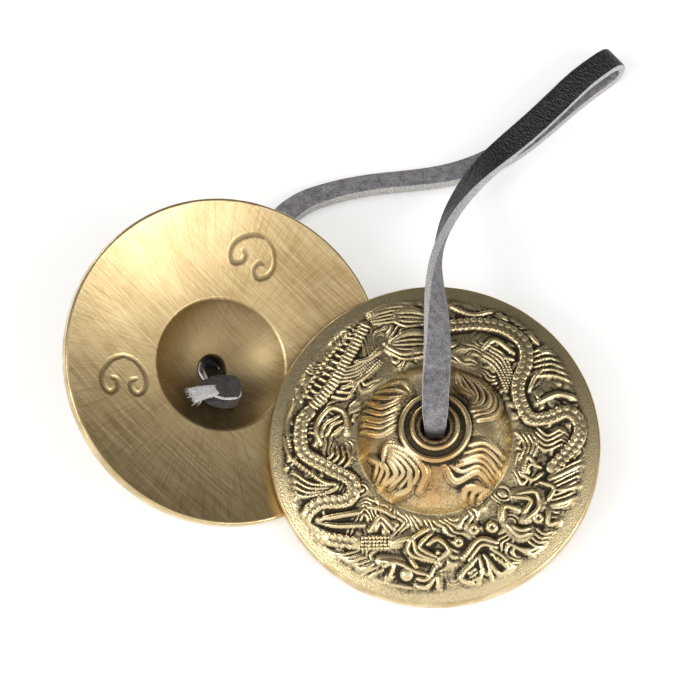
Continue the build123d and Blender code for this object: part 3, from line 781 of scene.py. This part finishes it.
def arc_rows(start, end, swell, count):
    """Points along a shallow arc between two points of the profile, the first one left out."""
    share = np.linspace(0, 1, count + 1)[1:]
    radius = start[0] + (end[0] - start[0]) * share
    height = start[1] + (end[1] - start[1]) * share + 4 * swell * share * (1 - share)
    return np.column_stack([radius, height])


def round_rows(centre, size, first_angle, last_angle, count):
    """Points round an edge of the rim."""
    angle = np.radians(np.linspace(first_angle, last_angle, count))
    return np.column_stack([centre[0] + size * np.cos(angle), centre[1] + size * np.sin(angle)])


def casting_rows(casting):
    """Profile of the casting, from the hole over the boss and round the rim into the hollow."""
    boss_radii = np.linspace(casting.hole_mouth_radius, casting.boss_radius, BOSS_RINGS)
    boss = np.column_stack([boss_radii, crown_height(casting, boss_radii)])
    back = (casting.rim_radius - casting.rim_back_round, casting.rim_thickness)
    dish = arc_rows(tuple(boss[-1]), back, casting.dish_swell, DISH_RINGS)
    back_centre = (back[0], casting.rim_thickness - casting.rim_back_round)
    back_edge = round_rows(back_centre, casting.rim_back_round, BACK_ROUND_START, 0, EDGE_RINGS)
    lip = (casting.rim_radius - casting.rim_front_round, 0.0)
    front_centre = (lip[0], casting.rim_front_round)
    front_edge = round_rows(front_centre, casting.rim_front_round, 0, -90, EDGE_RINGS)
    hollow_edge = (casting.hollow_radius, casting.hollow_edge_height)
    inner = arc_rows(lip, hollow_edge, casting.dish_swell, INNER_RINGS)
    hollow_radii = np.linspace(casting.hollow_radius, casting.hole_radius, HOLLOW_RINGS)[1:]
    hollow = np.column_stack([hollow_radii, hollow_depth(casting, hollow_radii)])
    mouth_drop = casting.hole_mouth_radius - casting.hole_radius
    throat = np.array([[casting.hole_radius, boss[0][1] - mouth_drop]])
    parts = [boss, dish, back_edge, front_edge, inner, hollow, throat]
    return np.vstack(parts), np.cumsum([len(part) for part in parts])


def smooth_line(points, steps=9):
    """Even curve through given points."""
    fixed = np.array(points, float)
    padded = np.vstack([2 * fixed[0] - fixed[1], fixed, 2 * fixed[-1] - fixed[-2]])
    share = np.linspace(0, 1, steps, endpoint=False)[:, None]
    spans = []
    for before, start, end, after in zip(padded, padded[1:], padded[2:], padded[3:]):
        slope = (end - before) * share
        bend = (2 * before - 5 * start + 4 * end - after) * share**2
        twist = (3 * start - before - 3 * end + after) * share**3
        spans.append(0.5 * (2 * start + slope + bend + twist))
    return np.vstack(spans + [fixed[-1:]])


def even_line(points, spacing):
    """Points at an even spacing along a smooth line, with the sideways direction at each."""
    line = smooth_line(points)
    steps = np.linalg.norm(np.diff(line, axis=0), axis=1)
    travelled = np.concatenate([[0], np.cumsum(steps)])
    marks = np.arange(spacing / 2, travelled[-1], spacing)
    places = np.column_stack([np.interp(marks, travelled, line[:, axis]) for axis in (0, 1)])
    ahead = np.gradient(places, axis=0)
    ahead /= np.linalg.norm(ahead, axis=1)[:, None]
    return places, np.column_stack([-ahead[:, 1], ahead[:, 0]])


def fan_strands(fans):
    """Strands of fans, each spread evenly from its first strand to its last one."""
    strands = []
    for first, last, count in fans:
        for share in np.linspace(0, 1, count):
            strands.append(np.array(first) * (1 - share) + np.array(last) * share)
    return strands


class Relief:
    """Height of the ornament over points of a face, all in millimetres."""

    def __init__(self, x, y):
        self.x = x
        self.y = y
        self.height = np.zeros_like(x)

    def near(self, low, high, margin):
        """Indices of the points near a box."""
        inside = (self.x > low[0] - margin) & (self.x < high[0] + margin)
        inside &= (self.y > low[1] - margin) & (self.y < high[1] + margin)
        return np.flatnonzero(inside)

    def ridge(self, points, half_width, height, power=ROUND_TOP, taper=RIDGE_TAPER):
        """Rounded ridge along a smooth line, thinner at its ends."""
        line = smooth_line(points)
        picked = self.near(line.min(axis=0), line.max(axis=0), half_width)
        offsets = (self.x[picked, None] - line[:, 0]) ** 2 + (self.y[picked, None] - line[:, 1]) ** 2
        nearest = offsets.argmin(axis=1)
        distance = np.sqrt(offsets[np.arange(len(picked)), nearest])
        along = nearest / (len(line) - 1)
        full = (1 - taper) + taper * np.sqrt(np.minimum(np.minimum(along, 1 - along) / RIDGE_END, 1))
        reach = np.clip(1 - (distance / (half_width * full)) ** power, 0, None)
        self.height[picked] = np.maximum(self.height[picked], height * full * np.sqrt(reach))

    def ball(self, x, y, radius, height, pit=0.0, base=0.0):
        """Round bead, with or without a pit in its middle."""
        picked = self.near((x, y), (x, y), radius)
        distance = np.hypot(self.x[picked] - x, self.y[picked] - y) / radius
        dome = height * np.sqrt(np.clip(1 - distance**2, 0, None))
        dome -= pit * height * np.exp(-((distance / PIT_SPREAD) ** 2))
        raised = np.where(distance < 1, base + dome, 0)
        self.height[picked] = np.maximum(self.height[picked], raised)

    def scaled_body(self, points, height):
        """Dragon's body: a raised band with two rows of pitted beads."""
        self.ridge(points, BODY_HALF_WIDTH, height, power=FLAT_TOP, taper=BODY_TAPER)
        places, sideways = even_line(points, SCALE_SPACING)
        ahead = np.column_stack([sideways[:, 1], -sideways[:, 0]])
        for side in SCALE_ROWS:
            row = places + sideways * BODY_HALF_WIDTH * side + ahead * SCALE_SPACING * side / 2
            for x, y in row:
                self.ball(x, y, SCALE_RADIUS, SCALE_HEIGHT, pit=SCALE_PIT, base=height * SCALE_SEAT)

    def ribbed_tail(self, points, height):
        """Dragon's tail: a raised band with close ribs across it."""
        self.ridge(points, TAIL_HALF_WIDTH, height, power=FLAT_TOP, taper=TAIL_TAPER)
        places, sideways = even_line(points, RIB_SPACING)
        for place, direction in zip(places, sideways):
            reach = direction * TAIL_HALF_WIDTH * RIB_REACH
            rib = [place - reach, place + reach]
            self.ridge(rib, RIB_SPACING * RIB_FILL, height + RIB_HEIGHT, taper=TAIL_TAPER)


def cast_ornament(x, y, height):
    """Height of all the ornament on the boss side."""
    relief = Relief(x, y)
    drawn = [
        (BOSS_CLOUDS, CLOUD_STROKE),
        (fan_strands(CLOUD_FANS), CLOUD_STRAND),
        (HEAD_LINES + DRAGON_HEADS, HEAD_STROKE),
        (DISH_LINES, DISH_STROKE),
        (FINE_LINES, FINE_STROKE),
        (fan_strands(STRAND_FANS), FINE_STRAND),
    ]
    for lines, stroke in drawn:
        for line in lines:
            relief.ridge(line, stroke.foot, height * stroke.foot_rise, taper=stroke.foot_taper)
            relief.ridge(line, stroke.ridge, height * stroke.ridge_rise)
    for line in DRAGON_HEADS:
        relief.ridge(line, HEAD_HALF_WIDTH, height * HEAD_RISE, taper=HEAD_TAPER)
    for body in DRAGON_BODIES:
        relief.scaled_body(body, height)
    relief.ribbed_tail(DRAGON_TAIL, height * TAIL_RISE)
    for ball_x, ball_y, radius, pitted in BALLS:
        relief.ball(ball_x, ball_y, radius, height * BEAD_RISE, pit=BEAD_PIT if pitted else 0.0)
    return relief.height


def dish_ground(x, y, height):
    """Height of the ground between the main lines: strands in whorls with stippled gaps between them."""
    ground = np.zeros_like(x)
    for number, (place_x, place_y) in enumerate(zip(x, y)):
        place = Vector((place_x, place_y, 0))
        flow = sum(swing * noise.noise(place / size) for size, swing in WHORLS)
        strand = (0.5 + 0.5 * math.sin(2 * math.pi * flow / WHORL_PITCH)) ** WHORL_FULLNESS
        patch = noise.noise(place / PATCH_SIZE + PATCH_SHIFT) * PATCH_CONTRAST + PATCH_COVER
        stipple = 0.5 + 0.5 * noise.noise(place / STIPPLE_SIZE)
        covered = WHORL_RISE * strand * min(max(patch, 0), 1)
        ground[number] = height * (covered + STIPPLE_RISE * stipple)
    radius = np.hypot(x, y)
    return ground * np.clip(radius - GROUND_INNER, 0, 1) * np.clip(GROUND_OUTER - radius, 0, 1)


def engraved_curls(x, y, depth):
    """Depth of the engraved cloud curls on the inner face: mirrored curls that meet in a point."""
    grooves = Relief(x, y)
    for place_x, place_y, turn in ENGRAVED_PLACES:
        cosine = math.cos(math.radians(turn))
        sine = math.sin(math.radians(turn))
        for mirror in (-1, 1):
            curl = []
            for curl_x, curl_y in ENGRAVED_CURL:
                across = curl_x * mirror
                x_place = place_x + across * cosine - curl_y * sine
                y_place = place_y + across * sine + curl_y * cosine
                curl.append((x_place, y_place))
            grooves.ridge(curl, ENGRAVED_HALF_WIDTH, depth)
    return grooves.height


def blurred(field, passes):
    """Field on rings and spokes, smoothed by repeated averaging with its neighbours."""
    for _ in range(passes):
        inward = np.vstack([field[:1], field[:-1]])
        outward = np.vstack([field[1:], field[-1:]])
        field = (2 * field + inward + outward + np.roll(field, 1, 1) + np.roll(field, -1, 1)) / 6
    return field


def ring_bead(radius, centre, bead):
    """Height of a turned ring at a radius."""
    return np.sqrt(np.clip(bead**2 - (radius - centre) ** 2, 0, None))


def cast_heights(casting, radius, cosine, sine):
    """Heights of the ornament and the turned rings over the rings and spokes of the boss side."""
    flat_x = np.outer(radius, cosine) / MM
    flat_y = np.outer(radius, sine) / MM
    relief_height = casting.relief_height / MM
    main = cast_ornament(flat_x.ravel(), flat_y.ravel(), relief_height)
    ground = dish_ground(flat_x.ravel(), flat_y.ravel(), relief_height)
    raised = np.maximum(main, ground).reshape(flat_x.shape) * MM
    raised *= np.clip((casting.rim_radius - BORDER - radius) / BORDER_FADE, 0, 1)[:, None]
    outer = ring_bead(radius, casting.outer_ring_radius, casting.outer_ring_bead)
    inner = ring_bead(radius, casting.inner_ring_radius, casting.inner_ring_bead)
    return np.maximum(raised, np.maximum(outer, inner)[:, None])


def cast_patina(raised):
    """Darkness of the cast face: dark beside raised lines, medium on open ground, bright on high spots."""
    patina = np.full(raised.shape, OPEN_PATINA)
    for passes, depth in RECESSES:
        patina += (blurred(raised, passes) - raised) / depth
    return np.clip(patina, 0, 1)


def cymbal_mesh(name, casting, engraved):
    """Closed mesh of one casting on its own axis, with its finishes by face."""
    rows, ends = casting_rows(casting)
    cast_end = ends[1]
    inner_start, inner_end, hollow_end = ends[3:6]
    ahead = np.gradient(rows, axis=0)
    ahead /= np.linalg.norm(ahead, axis=1)[:, None]
    outward = np.column_stack([-ahead[:, 1], ahead[:, 0]])
    angle = np.linspace(0, 2 * math.pi, casting.spokes, endpoint=False)
    cosine = np.cos(angle)
    sine = np.sin(angle)

    shift = np.zeros((len(rows), casting.spokes))
    patina = np.full(shift.shape, PLAIN_PATINA)
    shift[:cast_end] = cast_heights(casting, rows[:cast_end, 0], cosine, sine)
    patina[:cast_end] = cast_patina(shift[:cast_end])
    rubbed = np.clip((rows[:cast_end, 0] - casting.rim_radius + RUBBED_BORDER) / RUBBED_FADE, 0, 1)
    patina[:cast_end] -= PATINA_RUBBED_OFF * rubbed[:, None]
    patina[inner_end:hollow_end] = np.linspace(*HOLLOW_PATINA, hollow_end - inner_end)[:, None]
    patina[hollow_end:] = HOLE_PATINA
    if engraved:
        inner_radius = rows[inner_start:inner_end, 0]
        flat = [np.outer(inner_radius, turn).ravel() / MM for turn in (cosine, sine)]
        grooves = engraved_curls(*flat, casting.engraving_depth / MM).reshape(len(inner_radius), -1)
        shift[inner_start:inner_end] = -grooves * MM
        patina[inner_start:inner_end] += grooves * MM / casting.engraving_depth * GROOVE_PATINA

    radius = rows[:, :1] + outward[:, :1] * shift
    height = rows[:, 1:] + outward[:, 1:] * shift
    points = np.stack([radius * cosine, radius * sine, height], axis=-1).reshape(-1, 3)
    index = np.arange(shift.size).reshape(shift.shape)
    after = np.roll(index, -1, axis=0)
    quads = np.stack([index, after, np.roll(after, -1, 1), np.roll(index, -1, 1)], axis=-1).reshape(-1, 4)
    mesh = bpy.data.meshes.new(name)
    mesh.from_pydata(points.tolist(), [], quads.tolist())

    finishes = np.zeros(len(rows), int)
    finishes[cast_end:inner_start] = 1
    finishes[inner_start:] = 2
    mesh.polygons.foreach_set("material_index", np.repeat(finishes, casting.spokes))
    mesh.polygons.foreach_set("use_smooth", np.ones(len(quads), bool))
    mesh.attributes.new("patina", "FLOAT", "POINT").data.foreach_set("value", patina.ravel())
    spread = [np.broadcast_to(turn, shift.shape) for turn in (cosine, sine)]
    turning = np.stack([*spread, radius], axis=-1)
    mesh.attributes.new("turning", "FLOAT_VECTOR", "POINT").data.foreach_set("vector", turning.ravel())
    mesh.update()
    return mesh


# Leather bands

def across_vector(heading, dip):
    """Unit vector across the band from its heading and dip in degrees."""
    turn = math.radians(heading)
    tip = math.radians(dip)
    return Vector((math.cos(tip) * math.cos(turn), math.cos(tip) * math.sin(turn), math.sin(tip)))


def spline_points(points, resolution):
    """Points of the smooth spline whose control points are the route's points."""
    curve = bpy.data.curves.new("route", "CURVE")
    curve.dimensions = "3D"
    curve.resolution_u = resolution
    spline = curve.splines.new("NURBS")
    spline.points.add(len(points) - 1)
    for control, point in zip(spline.points, points):
        control.co = (*point, 1.0)
    spline.order_u = 3
    spline.use_endpoint_u = True
    carrier = bpy.data.objects.new("route", curve)
    bpy.context.scene.collection.objects.link(carrier)
    traced = bpy.data.meshes.new_from_object(carrier)
    places = [vertex.co.copy() for vertex in traced.vertices]
    bpy.data.meshes.remove(traced)
    bpy.data.objects.remove(carrier)
    bpy.data.curves.remove(curve)
    return places


def band_section(width, thickness, edge_round):
    """Outline of the band: place across, place through, and finish of the side that starts there."""
    half_width = width / 2
    half_thick = thickness / 2
    flat = half_width - edge_round
    wall = half_thick - edge_round
    slant = edge_round * math.sqrt(0.5)
    half = [(share * flat, half_thick, FLESH) for share in (-1, -0.5, 0, 0.5, 1)]
    half += [
        (flat + slant, wall + slant, EDGE),
        (half_width, wall, EDGE),
        (half_width, -wall, EDGE),
        (flat + slant, -wall - slant, GRAIN),
    ]
    turned_over = {FLESH: GRAIN, GRAIN: FLESH, EDGE: EDGE}
    return half + [(-x, -y, turned_over[finish]) for x, y, finish in half]


def band_mesh(name, places, sides, widths, thickness, edge_round):
    """Leather band along a line, with its flesh side, grain side and ragged cut edges."""
    points = []
    faces = []
    finishes = []
    for number, (place, side, width) in enumerate(zip(places, sides, widths)):
        before = places[max(number - 1, 0)]
        after = places[min(number + 1, len(places) - 1)]
        ahead = (after - before).normalized()
        across = (side - ahead * side.dot(ahead)).normalized()
        flesh = across.cross(ahead)
        section = band_section(width, thickness, edge_round)
        for x, y, _ in section:
            ragged = noise.noise((place + across * x) * RAGGED_PITCH) * RAGGED_EDGE
            reach = x + math.copysign(ragged, x) * abs(2 * x / width) ** RAGGED_REACH
            points.append(place + across * reach + flesh * y)
    count = len(section)
    for ring in range(len(places) - 1):
        for step, (_, _, finish) in enumerate(section):
            here = ring * count + step
            beside = ring * count + (step + 1) % count
            faces.append((here, beside, beside + count, here + count))
            finishes.append(finish)
    faces.append(tuple(reversed(range(count))))
    faces.append(tuple(range(len(points) - count, len(points))))
    finishes += [EDGE, EDGE]
    mesh = bpy.data.meshes.new(name)
    mesh.from_pydata(points, [], faces)
    mesh.polygons.foreach_set("material_index", finishes)
    mesh.polygons.foreach_set("use_smooth", [len(face) == 4 for face in faces])
    mesh.update()
    return mesh


def band_object(name, points, acrosses, widths, thickness, thong, finishes, resolution=BAND_RESOLUTION):
    """Leather band along control points with their across directions, and the line that it follows."""
    places = spline_points(points, resolution)
    edges = spline_points([point + across * MM for point, across in zip(points, acrosses)], resolution)
    sides = [edge - place for edge, place in zip(edges, places)]
    spread = np.interp(np.linspace(0, len(widths) - 1, len(places)), range(len(widths)), widths)
    mesh = band_mesh(name, places, sides, spread, thickness, thong.edge_round)
    band = place_object(name, mesh, materials_named(finishes))
    return band, places


# Knots

def knot_matrix(side, casting):
    """Frame of a knot: z out towards the hollow's wall, x as near to the cymbal's own x as that allows."""
    low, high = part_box(side + "_knot")
    centre = (low + high) / 2
    cymbal = cymbal_matrix(side)
    ball = ball_radius(casting.hollow_radius, casting.hollow_height - casting.hollow_edge_height)
    ball_centre = cymbal @ Vector((0, 0, casting.hollow_height - ball))
    z_axis = (centre - ball_centre).normalized()
    cymbal_x = cymbal.to_3x3() @ Vector((1, 0, 0))
    x_axis = (cymbal_x - z_axis * z_axis.dot(cymbal_x)).normalized()
    turn = Matrix((x_axis, z_axis.cross(x_axis), z_axis)).transposed().to_4x4()
    return Matrix.Translation(centre) @ turn


def knot_core(name, thong):
    """Creased lump in the middle of a knot."""
    half_size = Vector((thong.knot_length, thong.knot_width, thong.knot_thickness)) * CORE_SHARE
    points = []
    for ring in range(CORE_RINGS + 1):
        tilt = math.pi * ring / CORE_RINGS
        girth = math.sin(tilt)
        for spoke in range(CORE_SPOKES):
            turn = 2 * math.pi * spoke / CORE_SPOKES
            direction = Vector((math.cos(tilt), girth * math.cos(turn), girth * math.sin(turn)))
            bulge = Vector([math.copysign(abs(value) ** CORE_SQUARENESS, value) for value in direction])
            crease = sum(depth * noise.noise(direction * pitch) for pitch, depth in CORE_CREASES)
            points.append(bulge * half_size * (1 + crease))
    faces = []
    for ring in range(CORE_RINGS):
        for spoke in range(CORE_SPOKES):
            here = ring * CORE_SPOKES + spoke
            beside = ring * CORE_SPOKES + (spoke + 1) % CORE_SPOKES
            faces.append((here, beside, beside + CORE_SPOKES, here + CORE_SPOKES))
    mesh = bpy.data.meshes.new(name)
    mesh.from_pydata(points, [], faces)
    mesh.polygons.foreach_set("use_smooth", [True] * len(faces))
    mesh.update()
    return mesh


def knot_turn(name, matrix, thong, tail_side):
    """Slanting turn of the thong round a knot, its ends tucked into the core."""
    points = []
    for step in range(TURN_STEPS + 1):
        turn = math.radians(TURN_SWEEP * step / TURN_STEPS + TURN_START)
        tuck = TURN_TUCK if step in (0, TURN_STEPS) else TURN_REACH
        x = (TURN_SLANT * math.sin(turn) - TURN_SHIFT) * tail_side
        y = thong.knot_width / 2 * tuck * math.cos(turn)
        z = thong.knot_thickness / 2 * tuck * math.sin(turn)
        points.append(matrix @ Vector((x, y, z)))
    acrosses = [matrix.to_3x3() @ Vector((-1, 0, 0))] * len(points)
    widths = [thong.neck_width * TURN_WIDTH] * 2
    thickness = thong.thickness * TURN_THICKNESS
    turned, _ = band_object(
        name, points, acrosses, widths, thickness, thong, TURN_FINISHES, TURN_RESOLUTION
    )
    return turned


def knot_fold(name, matrix, thong, tail_side):
    """Fold of the thong along one side of a knot, with its pale cut edge towards the hollow's mouth."""
    reach = thong.knot_length / 2 * tail_side
    side = thong.knot_width / 2
    points = []
    for along, aside, height in FOLD_PLACES:
        points.append(matrix @ Vector((reach * along, side * aside, height * MM)))
    acrosses = [matrix.to_3x3() @ Vector((0, 0, 1))] * len(points)
    widths = [thong.neck_width * FOLD_WIDTH] * 2
    thickness = thong.thickness * FOLD_THICKNESS
    fold, _ = band_object(
        name, points, acrosses, widths, thickness, thong, FOLD_FINISHES, FOLD_RESOLUTION
    )
    return fold


def frayed_end(name, place, ahead, across, upward, spread):
    """Loose pale fibres that stand out of a cut end."""
    shuffle = random.Random(FRAY_SEED)
    points = []
    faces = []
    for _ in range(FRAY_COUNT):
        root = place + across * spread * shuffle.uniform(-0.5, 0.5)
        root += upward * MM * shuffle.uniform(-FRAY_HALF_HEIGHT, FRAY_HALF_HEIGHT)
        root -= ahead * MM * shuffle.uniform(0.0, FRAY_ROOT)
        tip = root + ahead * MM * shuffle.uniform(*FRAY_REACH)
        tip += across * MM * shuffle.uniform(-FRAY_STRAY, FRAY_STRAY)
        tip += upward * MM * shuffle.uniform(-FRAY_STRAY, FRAY_STRAY)
        thick = MM * shuffle.uniform(*FRAY_THICKNESS)
        first = len(points)
        second, third, last = first + 1, first + 2, first + 3
        points += [root + across * thick, root - across * thick, root + upward * thick * FRAY_HEIGHT, tip]
        faces += [(first, second, last), (second, third, last), (third, first, last), (third, second, first)]
    mesh = bpy.data.meshes.new(name)
    mesh.from_pydata(points, [], faces)
    mesh.update()
    fibres = place_object(name, mesh, materials_named(["cut_edge"]))
    return fibres


# Operators

class TINGSHA_OT_finishes(bpy.types.Operator):
    """Make the brass and leather finishes"""

    bl_idname = "tingsha.finishes"
    bl_label = "Finishes"

    def execute(self, context):
        finish = context.scene.tingsha_finish
        for make in (satin_brass, antique_brass, polished_brass, grain_leather, suede, shaded_knot_suede, cut_edge):
            make(finish)
        return {"FINISHED"}


class TINGSHA_OT_stage(bpy.types.Operator):
    """Add the floor, the studio light and the camera"""

    bl_idname = "tingsha.stage"
    bl_label = "Stage"

    def execute(self, context):
        scene = context.scene
        stage = scene.tingsha_stage
        scene.view_settings.view_transform = "Standard"
        self.add_floor(stage)
        self.add_world(scene, stage)
        for name, place, side, power in SOFTBOXES:
            self.add_lamp(name, place, side, power)
        self.add_camera(scene, stage)
        return {"FINISHED"}

    def add_floor(self, stage):
        """Pale floor under the object."""
        half = stage.floor_size / 2
        mesh = bpy.data.meshes.new("floor")
        corners = [(-half, -half, 0), (half, -half, 0), (half, half, 0), (-half, half, 0)]
        mesh.from_pydata(corners, [], [(0, 1, 2, 3)])
        place_object("floor", mesh, [pale_floor(stage)])

    def add_world(self, scene, stage):
        """Room that is bright on the camera's side and dim on the far side."""
        world = bpy.data.worlds.new("studio")
        scene.world = world
        world.use_nodes = True
        tree = world.node_tree
        tree.nodes.clear()
        direction = add_node(tree, "ShaderNodeTexCoord").outputs["Generated"]
        split = add_node(tree, "ShaderNodeSeparateXYZ", {"Vector": direction})
        strength = remap(tree, split.outputs["Y"], *ROOM_FADE, stage.near_light, stage.far_light)
        background = add_node(tree, "ShaderNodeBackground", {"Color": ROOM_TINT, "Strength": strength})
        output = tree.nodes.new("ShaderNodeOutputWorld")
        tree.links.new(background.outputs["Background"], output.inputs["Surface"])

    def add_lamp(self, name, place, side, power):
        """Square softbox aimed at the object."""
        lamp = bpy.data.lights.new(name, "AREA")
        lamp.size = side
        lamp.energy = power
        carrier = bpy.data.objects.new(name, lamp)
        carrier.location = place
        carrier.rotation_euler = (-Vector(place)).to_track_quat("-Z", "Y").to_euler()
        bpy.context.scene.collection.objects.link(carrier)

    def add_camera(self, scene, stage):
        """Camera at the photograph's viewing angle."""
        camera = bpy.data.cameras.new("camera")
        camera.lens = stage.lens
        carrier = bpy.data.objects.new("camera", camera)
        rise = math.sin(stage.camera_elevation)
        level = math.cos(stage.camera_elevation)
        aim = Vector((stage.aim_side, stage.aim_rise * rise, stage.aim_rise * level))
        carrier.location = aim + Vector((0, -level, rise)) * stage.camera_distance
        carrier.rotation_euler = (math.pi / 2 - stage.camera_elevation, 0, 0)
        scene.collection.objects.link(carrier)
        scene.camera = carrier


class TINGSHA_OT_cymbals(bpy.types.Operator):
    """Add the two brass castings with their cast dragons and clouds"""

    bl_idname = "tingsha.cymbals"
    bl_label = "Cymbals"

    def execute(self, context):
        casting = context.scene.tingsha_casting
        brass = materials_named(("antique_brass", "polished_brass", "satin_brass"))
        for side in ("left", "right"):
            mesh = cymbal_mesh(side + "_casting", casting, side == "left")
            mesh.transform(cymbal_matrix(side))
            cymbal = place_object(side + "_casting", mesh, brass)
            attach(cymbal, side + "_cymbal")
            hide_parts(side + "_cymbal")
        return {"FINISHED"}


class TINGSHA_OT_necks(bpy.types.Operator):
    """Add the stretches of thong that pass through the two holes"""

    bl_idname = "tingsha.necks"
    bl_label = "Necks"

    def execute(self, context):
        casting = context.scene.tingsha_casting
        thong = context.scene.tingsha_thong
        self.add_right(casting, thong)
        self.add_left(casting, thong)
        return {"FINISHED"}

    def add_right(self, casting, thong):
        """From the knot under the right boss up through its hole and over."""
        cymbal = cymbal_matrix("right")
        over_hole = Vector((0, 0, crown_height(casting, casting.hole_mouth_radius) + NECK_RISE))
        bend = Vector(RIGHT_BEND[:3]) * MM
        end = Vector(RIGHT_EXIT) * MM
        points = [
            knot_matrix("right", casting).translation,
            cymbal @ over_hole,
            cymbal @ (over_hole + NECK_LEAN),
            bend,
            end,
            end + (end - bend).normalized() * thong.lap,
        ]
        side = cymbal.to_3x3() @ Vector((1, 0, 0))
        acrosses = [side] * 3 + [across_vector(*RIGHT_BEND[3:])] + [across_vector(*THONG_ROUTE[0][3:])] * 2
        widths = [thong.neck_width, thong.width * NECK_SQUEEZE, thong.width, thong.width]
        thickness = thong.thickness * RIGHT_NECK_THICKNESS
        neck, _ = band_object("right_neck_band", points, acrosses, widths, thickness, thong, LEATHER_FINISHES)
        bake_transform(neck)
        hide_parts("right_neck")

    def add_left(self, casting, thong):
        """From under the left boss up through its hole to the knot."""
        cymbal = cymbal_matrix("left")
        start = Vector(LEFT_EXIT) * MM
        corner = Vector(LEFT_CORNER) * MM
        points = [
            start + (start - corner).normalized() * thong.lap,
            start,
            (start + corner) / 2,
            corner,
            cymbal @ Vector((0, NECK_SHIFT, hollow_depth(casting, casting.hole_radius))),
            knot_matrix("left", casting).translation,
        ]
        side = cymbal.to_3x3() @ Vector((-1, 0, 0))
        acrosses = [across_vector(*THONG_ROUTE[-1][3:])] * 4 + [side] * 2
        widths = [thong.width, thong.width, thong.neck_width, thong.neck_width]
        thickness = thong.thickness * LEFT_NECK_THICKNESS
        # The left neck's flesh side is black here as painted shade inside the hollow
        neck, _ = band_object("left_neck_band", points, acrosses, widths, thickness, thong, LEFT_NECK_SHADE_FINISHES)
        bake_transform(neck)
        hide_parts("left_neck")


class TINGSHA_OT_knots(bpy.types.Operator):
    """Add the knots in the thong's two ends with their frayed tails"""

    bl_idname = "tingsha.knots"
    bl_label = "Knots"

    def execute(self, context):
        casting = context.scene.tingsha_casting
        thong = context.scene.tingsha_thong
        for side, tail_side in (("left", -1), ("right", 1)):
            matrix = knot_matrix(side, casting)
            mesh = knot_core(side + "_knot_core", thong)
            mesh.transform(matrix)
            # The knot's core takes the darker knot suede, painted shade inside the hollow
            core = place_object(side + "_knot_core", mesh, materials_named(["shaded_knot_suede"]))
            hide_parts(side + "_knot")
            turned = knot_turn(side + "_knot_turn", matrix, thong, tail_side)
            fold = knot_fold(side + "_knot_fold", matrix, thong, tail_side)
            tail, fibres = self.add_tail(side, tail_side, matrix, thong)
            for piece in (core, turned, fold, tail, fibres):
                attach(piece, side + "_end")
        return {"FINISHED"}

    def add_tail(self, side, tail_side, matrix, thong):
        """Cut end that stands out of a knot and lifts off the hollow's wall."""
        points = []
        for knot_share, tail_share, aside, lift_share in TAIL_PLACES:
            along = thong.knot_length / 2 * knot_share + thong.tail_length * tail_share
            place = Vector((along * tail_side, aside * MM, -thong.tail_lift * lift_share))
            points.append(matrix @ place)
        across = matrix.to_3x3() @ Vector((TAIL_SLANT * tail_side, -1, 0)).normalized()
        acrosses = [across] * len(points)
        widths = [thong.neck_width * share for share in TAIL_WIDTHS]
        thickness = thong.thickness * TAIL_THICKNESS
        name = side + "_tail_band"
        tail, line = band_object(name, points, acrosses, widths, thickness, thong, TAIL_FINISHES)
        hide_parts(side + "_knot_tail")
        ahead = (line[-1] - line[-2]).normalized()
        fibres = frayed_end(side + "_fray", line[-1], ahead, across, ahead.cross(across), thong.neck_width)
        return tail, fibres


class TINGSHA_OT_thong(bpy.types.Operator):
    """Add the free thong with its finger loop"""

    bl_idname = "tingsha.thong"
    bl_label = "Thong"

    def execute(self, context):
        thong = context.scene.tingsha_thong
        points = [Vector(row[:3]) * MM for row in THONG_ROUTE]
        acrosses = [across_vector(*row[3:]) for row in THONG_ROUTE]
        widths = [thong.width] * 2
        strap, line = band_object(
            "thong_band", points, acrosses, widths, thong.thickness, thong, LEATHER_FINISHES
        )
        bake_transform(strap)
        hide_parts("left_lead", "finger_loop", "right_lead")
        return {"FINISHED"}


class TINGSHA_PT_panel(bpy.types.Panel):
    """Lists the pieces and their sizes"""

    bl_idname = "TINGSHA_PT_panel"
    bl_label = "Tingsha Cymbals"
    bl_space_type = "VIEW_3D"
    bl_region_type = "UI"
    bl_category = "Tingsha"

    def draw(self, context):
        for operator in BUILD_ORDER:
            self.layout.operator(operator.bl_idname)
        for name in PROPERTY_GROUPS:
            box = self.layout.box()
            group = getattr(context.scene, name)
            for key in group.__annotations__:
                box.prop(group, key)


PROPERTY_GROUPS = {
    "tingsha_casting": TingshaCasting,
    "tingsha_thong": TingshaThong,
    "tingsha_finish": TingshaFinish,
    "tingsha_stage": TingshaStage,
}
BUILD_ORDER = (
    TINGSHA_OT_finishes,
    TINGSHA_OT_stage,
    TINGSHA_OT_necks,
    TINGSHA_OT_knots,
    TINGSHA_OT_thong,
    TINGSHA_OT_cymbals,
)


def register():
    """Register the classes and hang the settings on the scene."""
    for name, group in PROPERTY_GROUPS.items():
        bpy.utils.register_class(group)
        setattr(bpy.types.Scene, name, bpy.props.PointerProperty(type=group))
    for operator in BUILD_ORDER:
        bpy.utils.register_class(operator)
    bpy.utils.register_class(TINGSHA_PT_panel)


def unregister():
    """Take the classes and the settings away again."""
    bpy.utils.unregister_class(TINGSHA_PT_panel)
    for operator in reversed(BUILD_ORDER):
        bpy.utils.unregister_class(operator)
    for name, group in PROPERTY_GROUPS.items():
        delattr(bpy.types.Scene, name)
        bpy.utils.unregister_class(group)


def main():
    """Build every piece in order."""
    register()
    bpy.ops.tingsha.finishes()
    bpy.ops.tingsha.stage()
    bpy.ops.tingsha.necks()
    bpy.ops.tingsha.knots()
    bpy.ops.tingsha.thong()
    bpy.ops.tingsha.cymbals()
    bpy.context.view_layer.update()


if __name__ == "__main__":
    main()
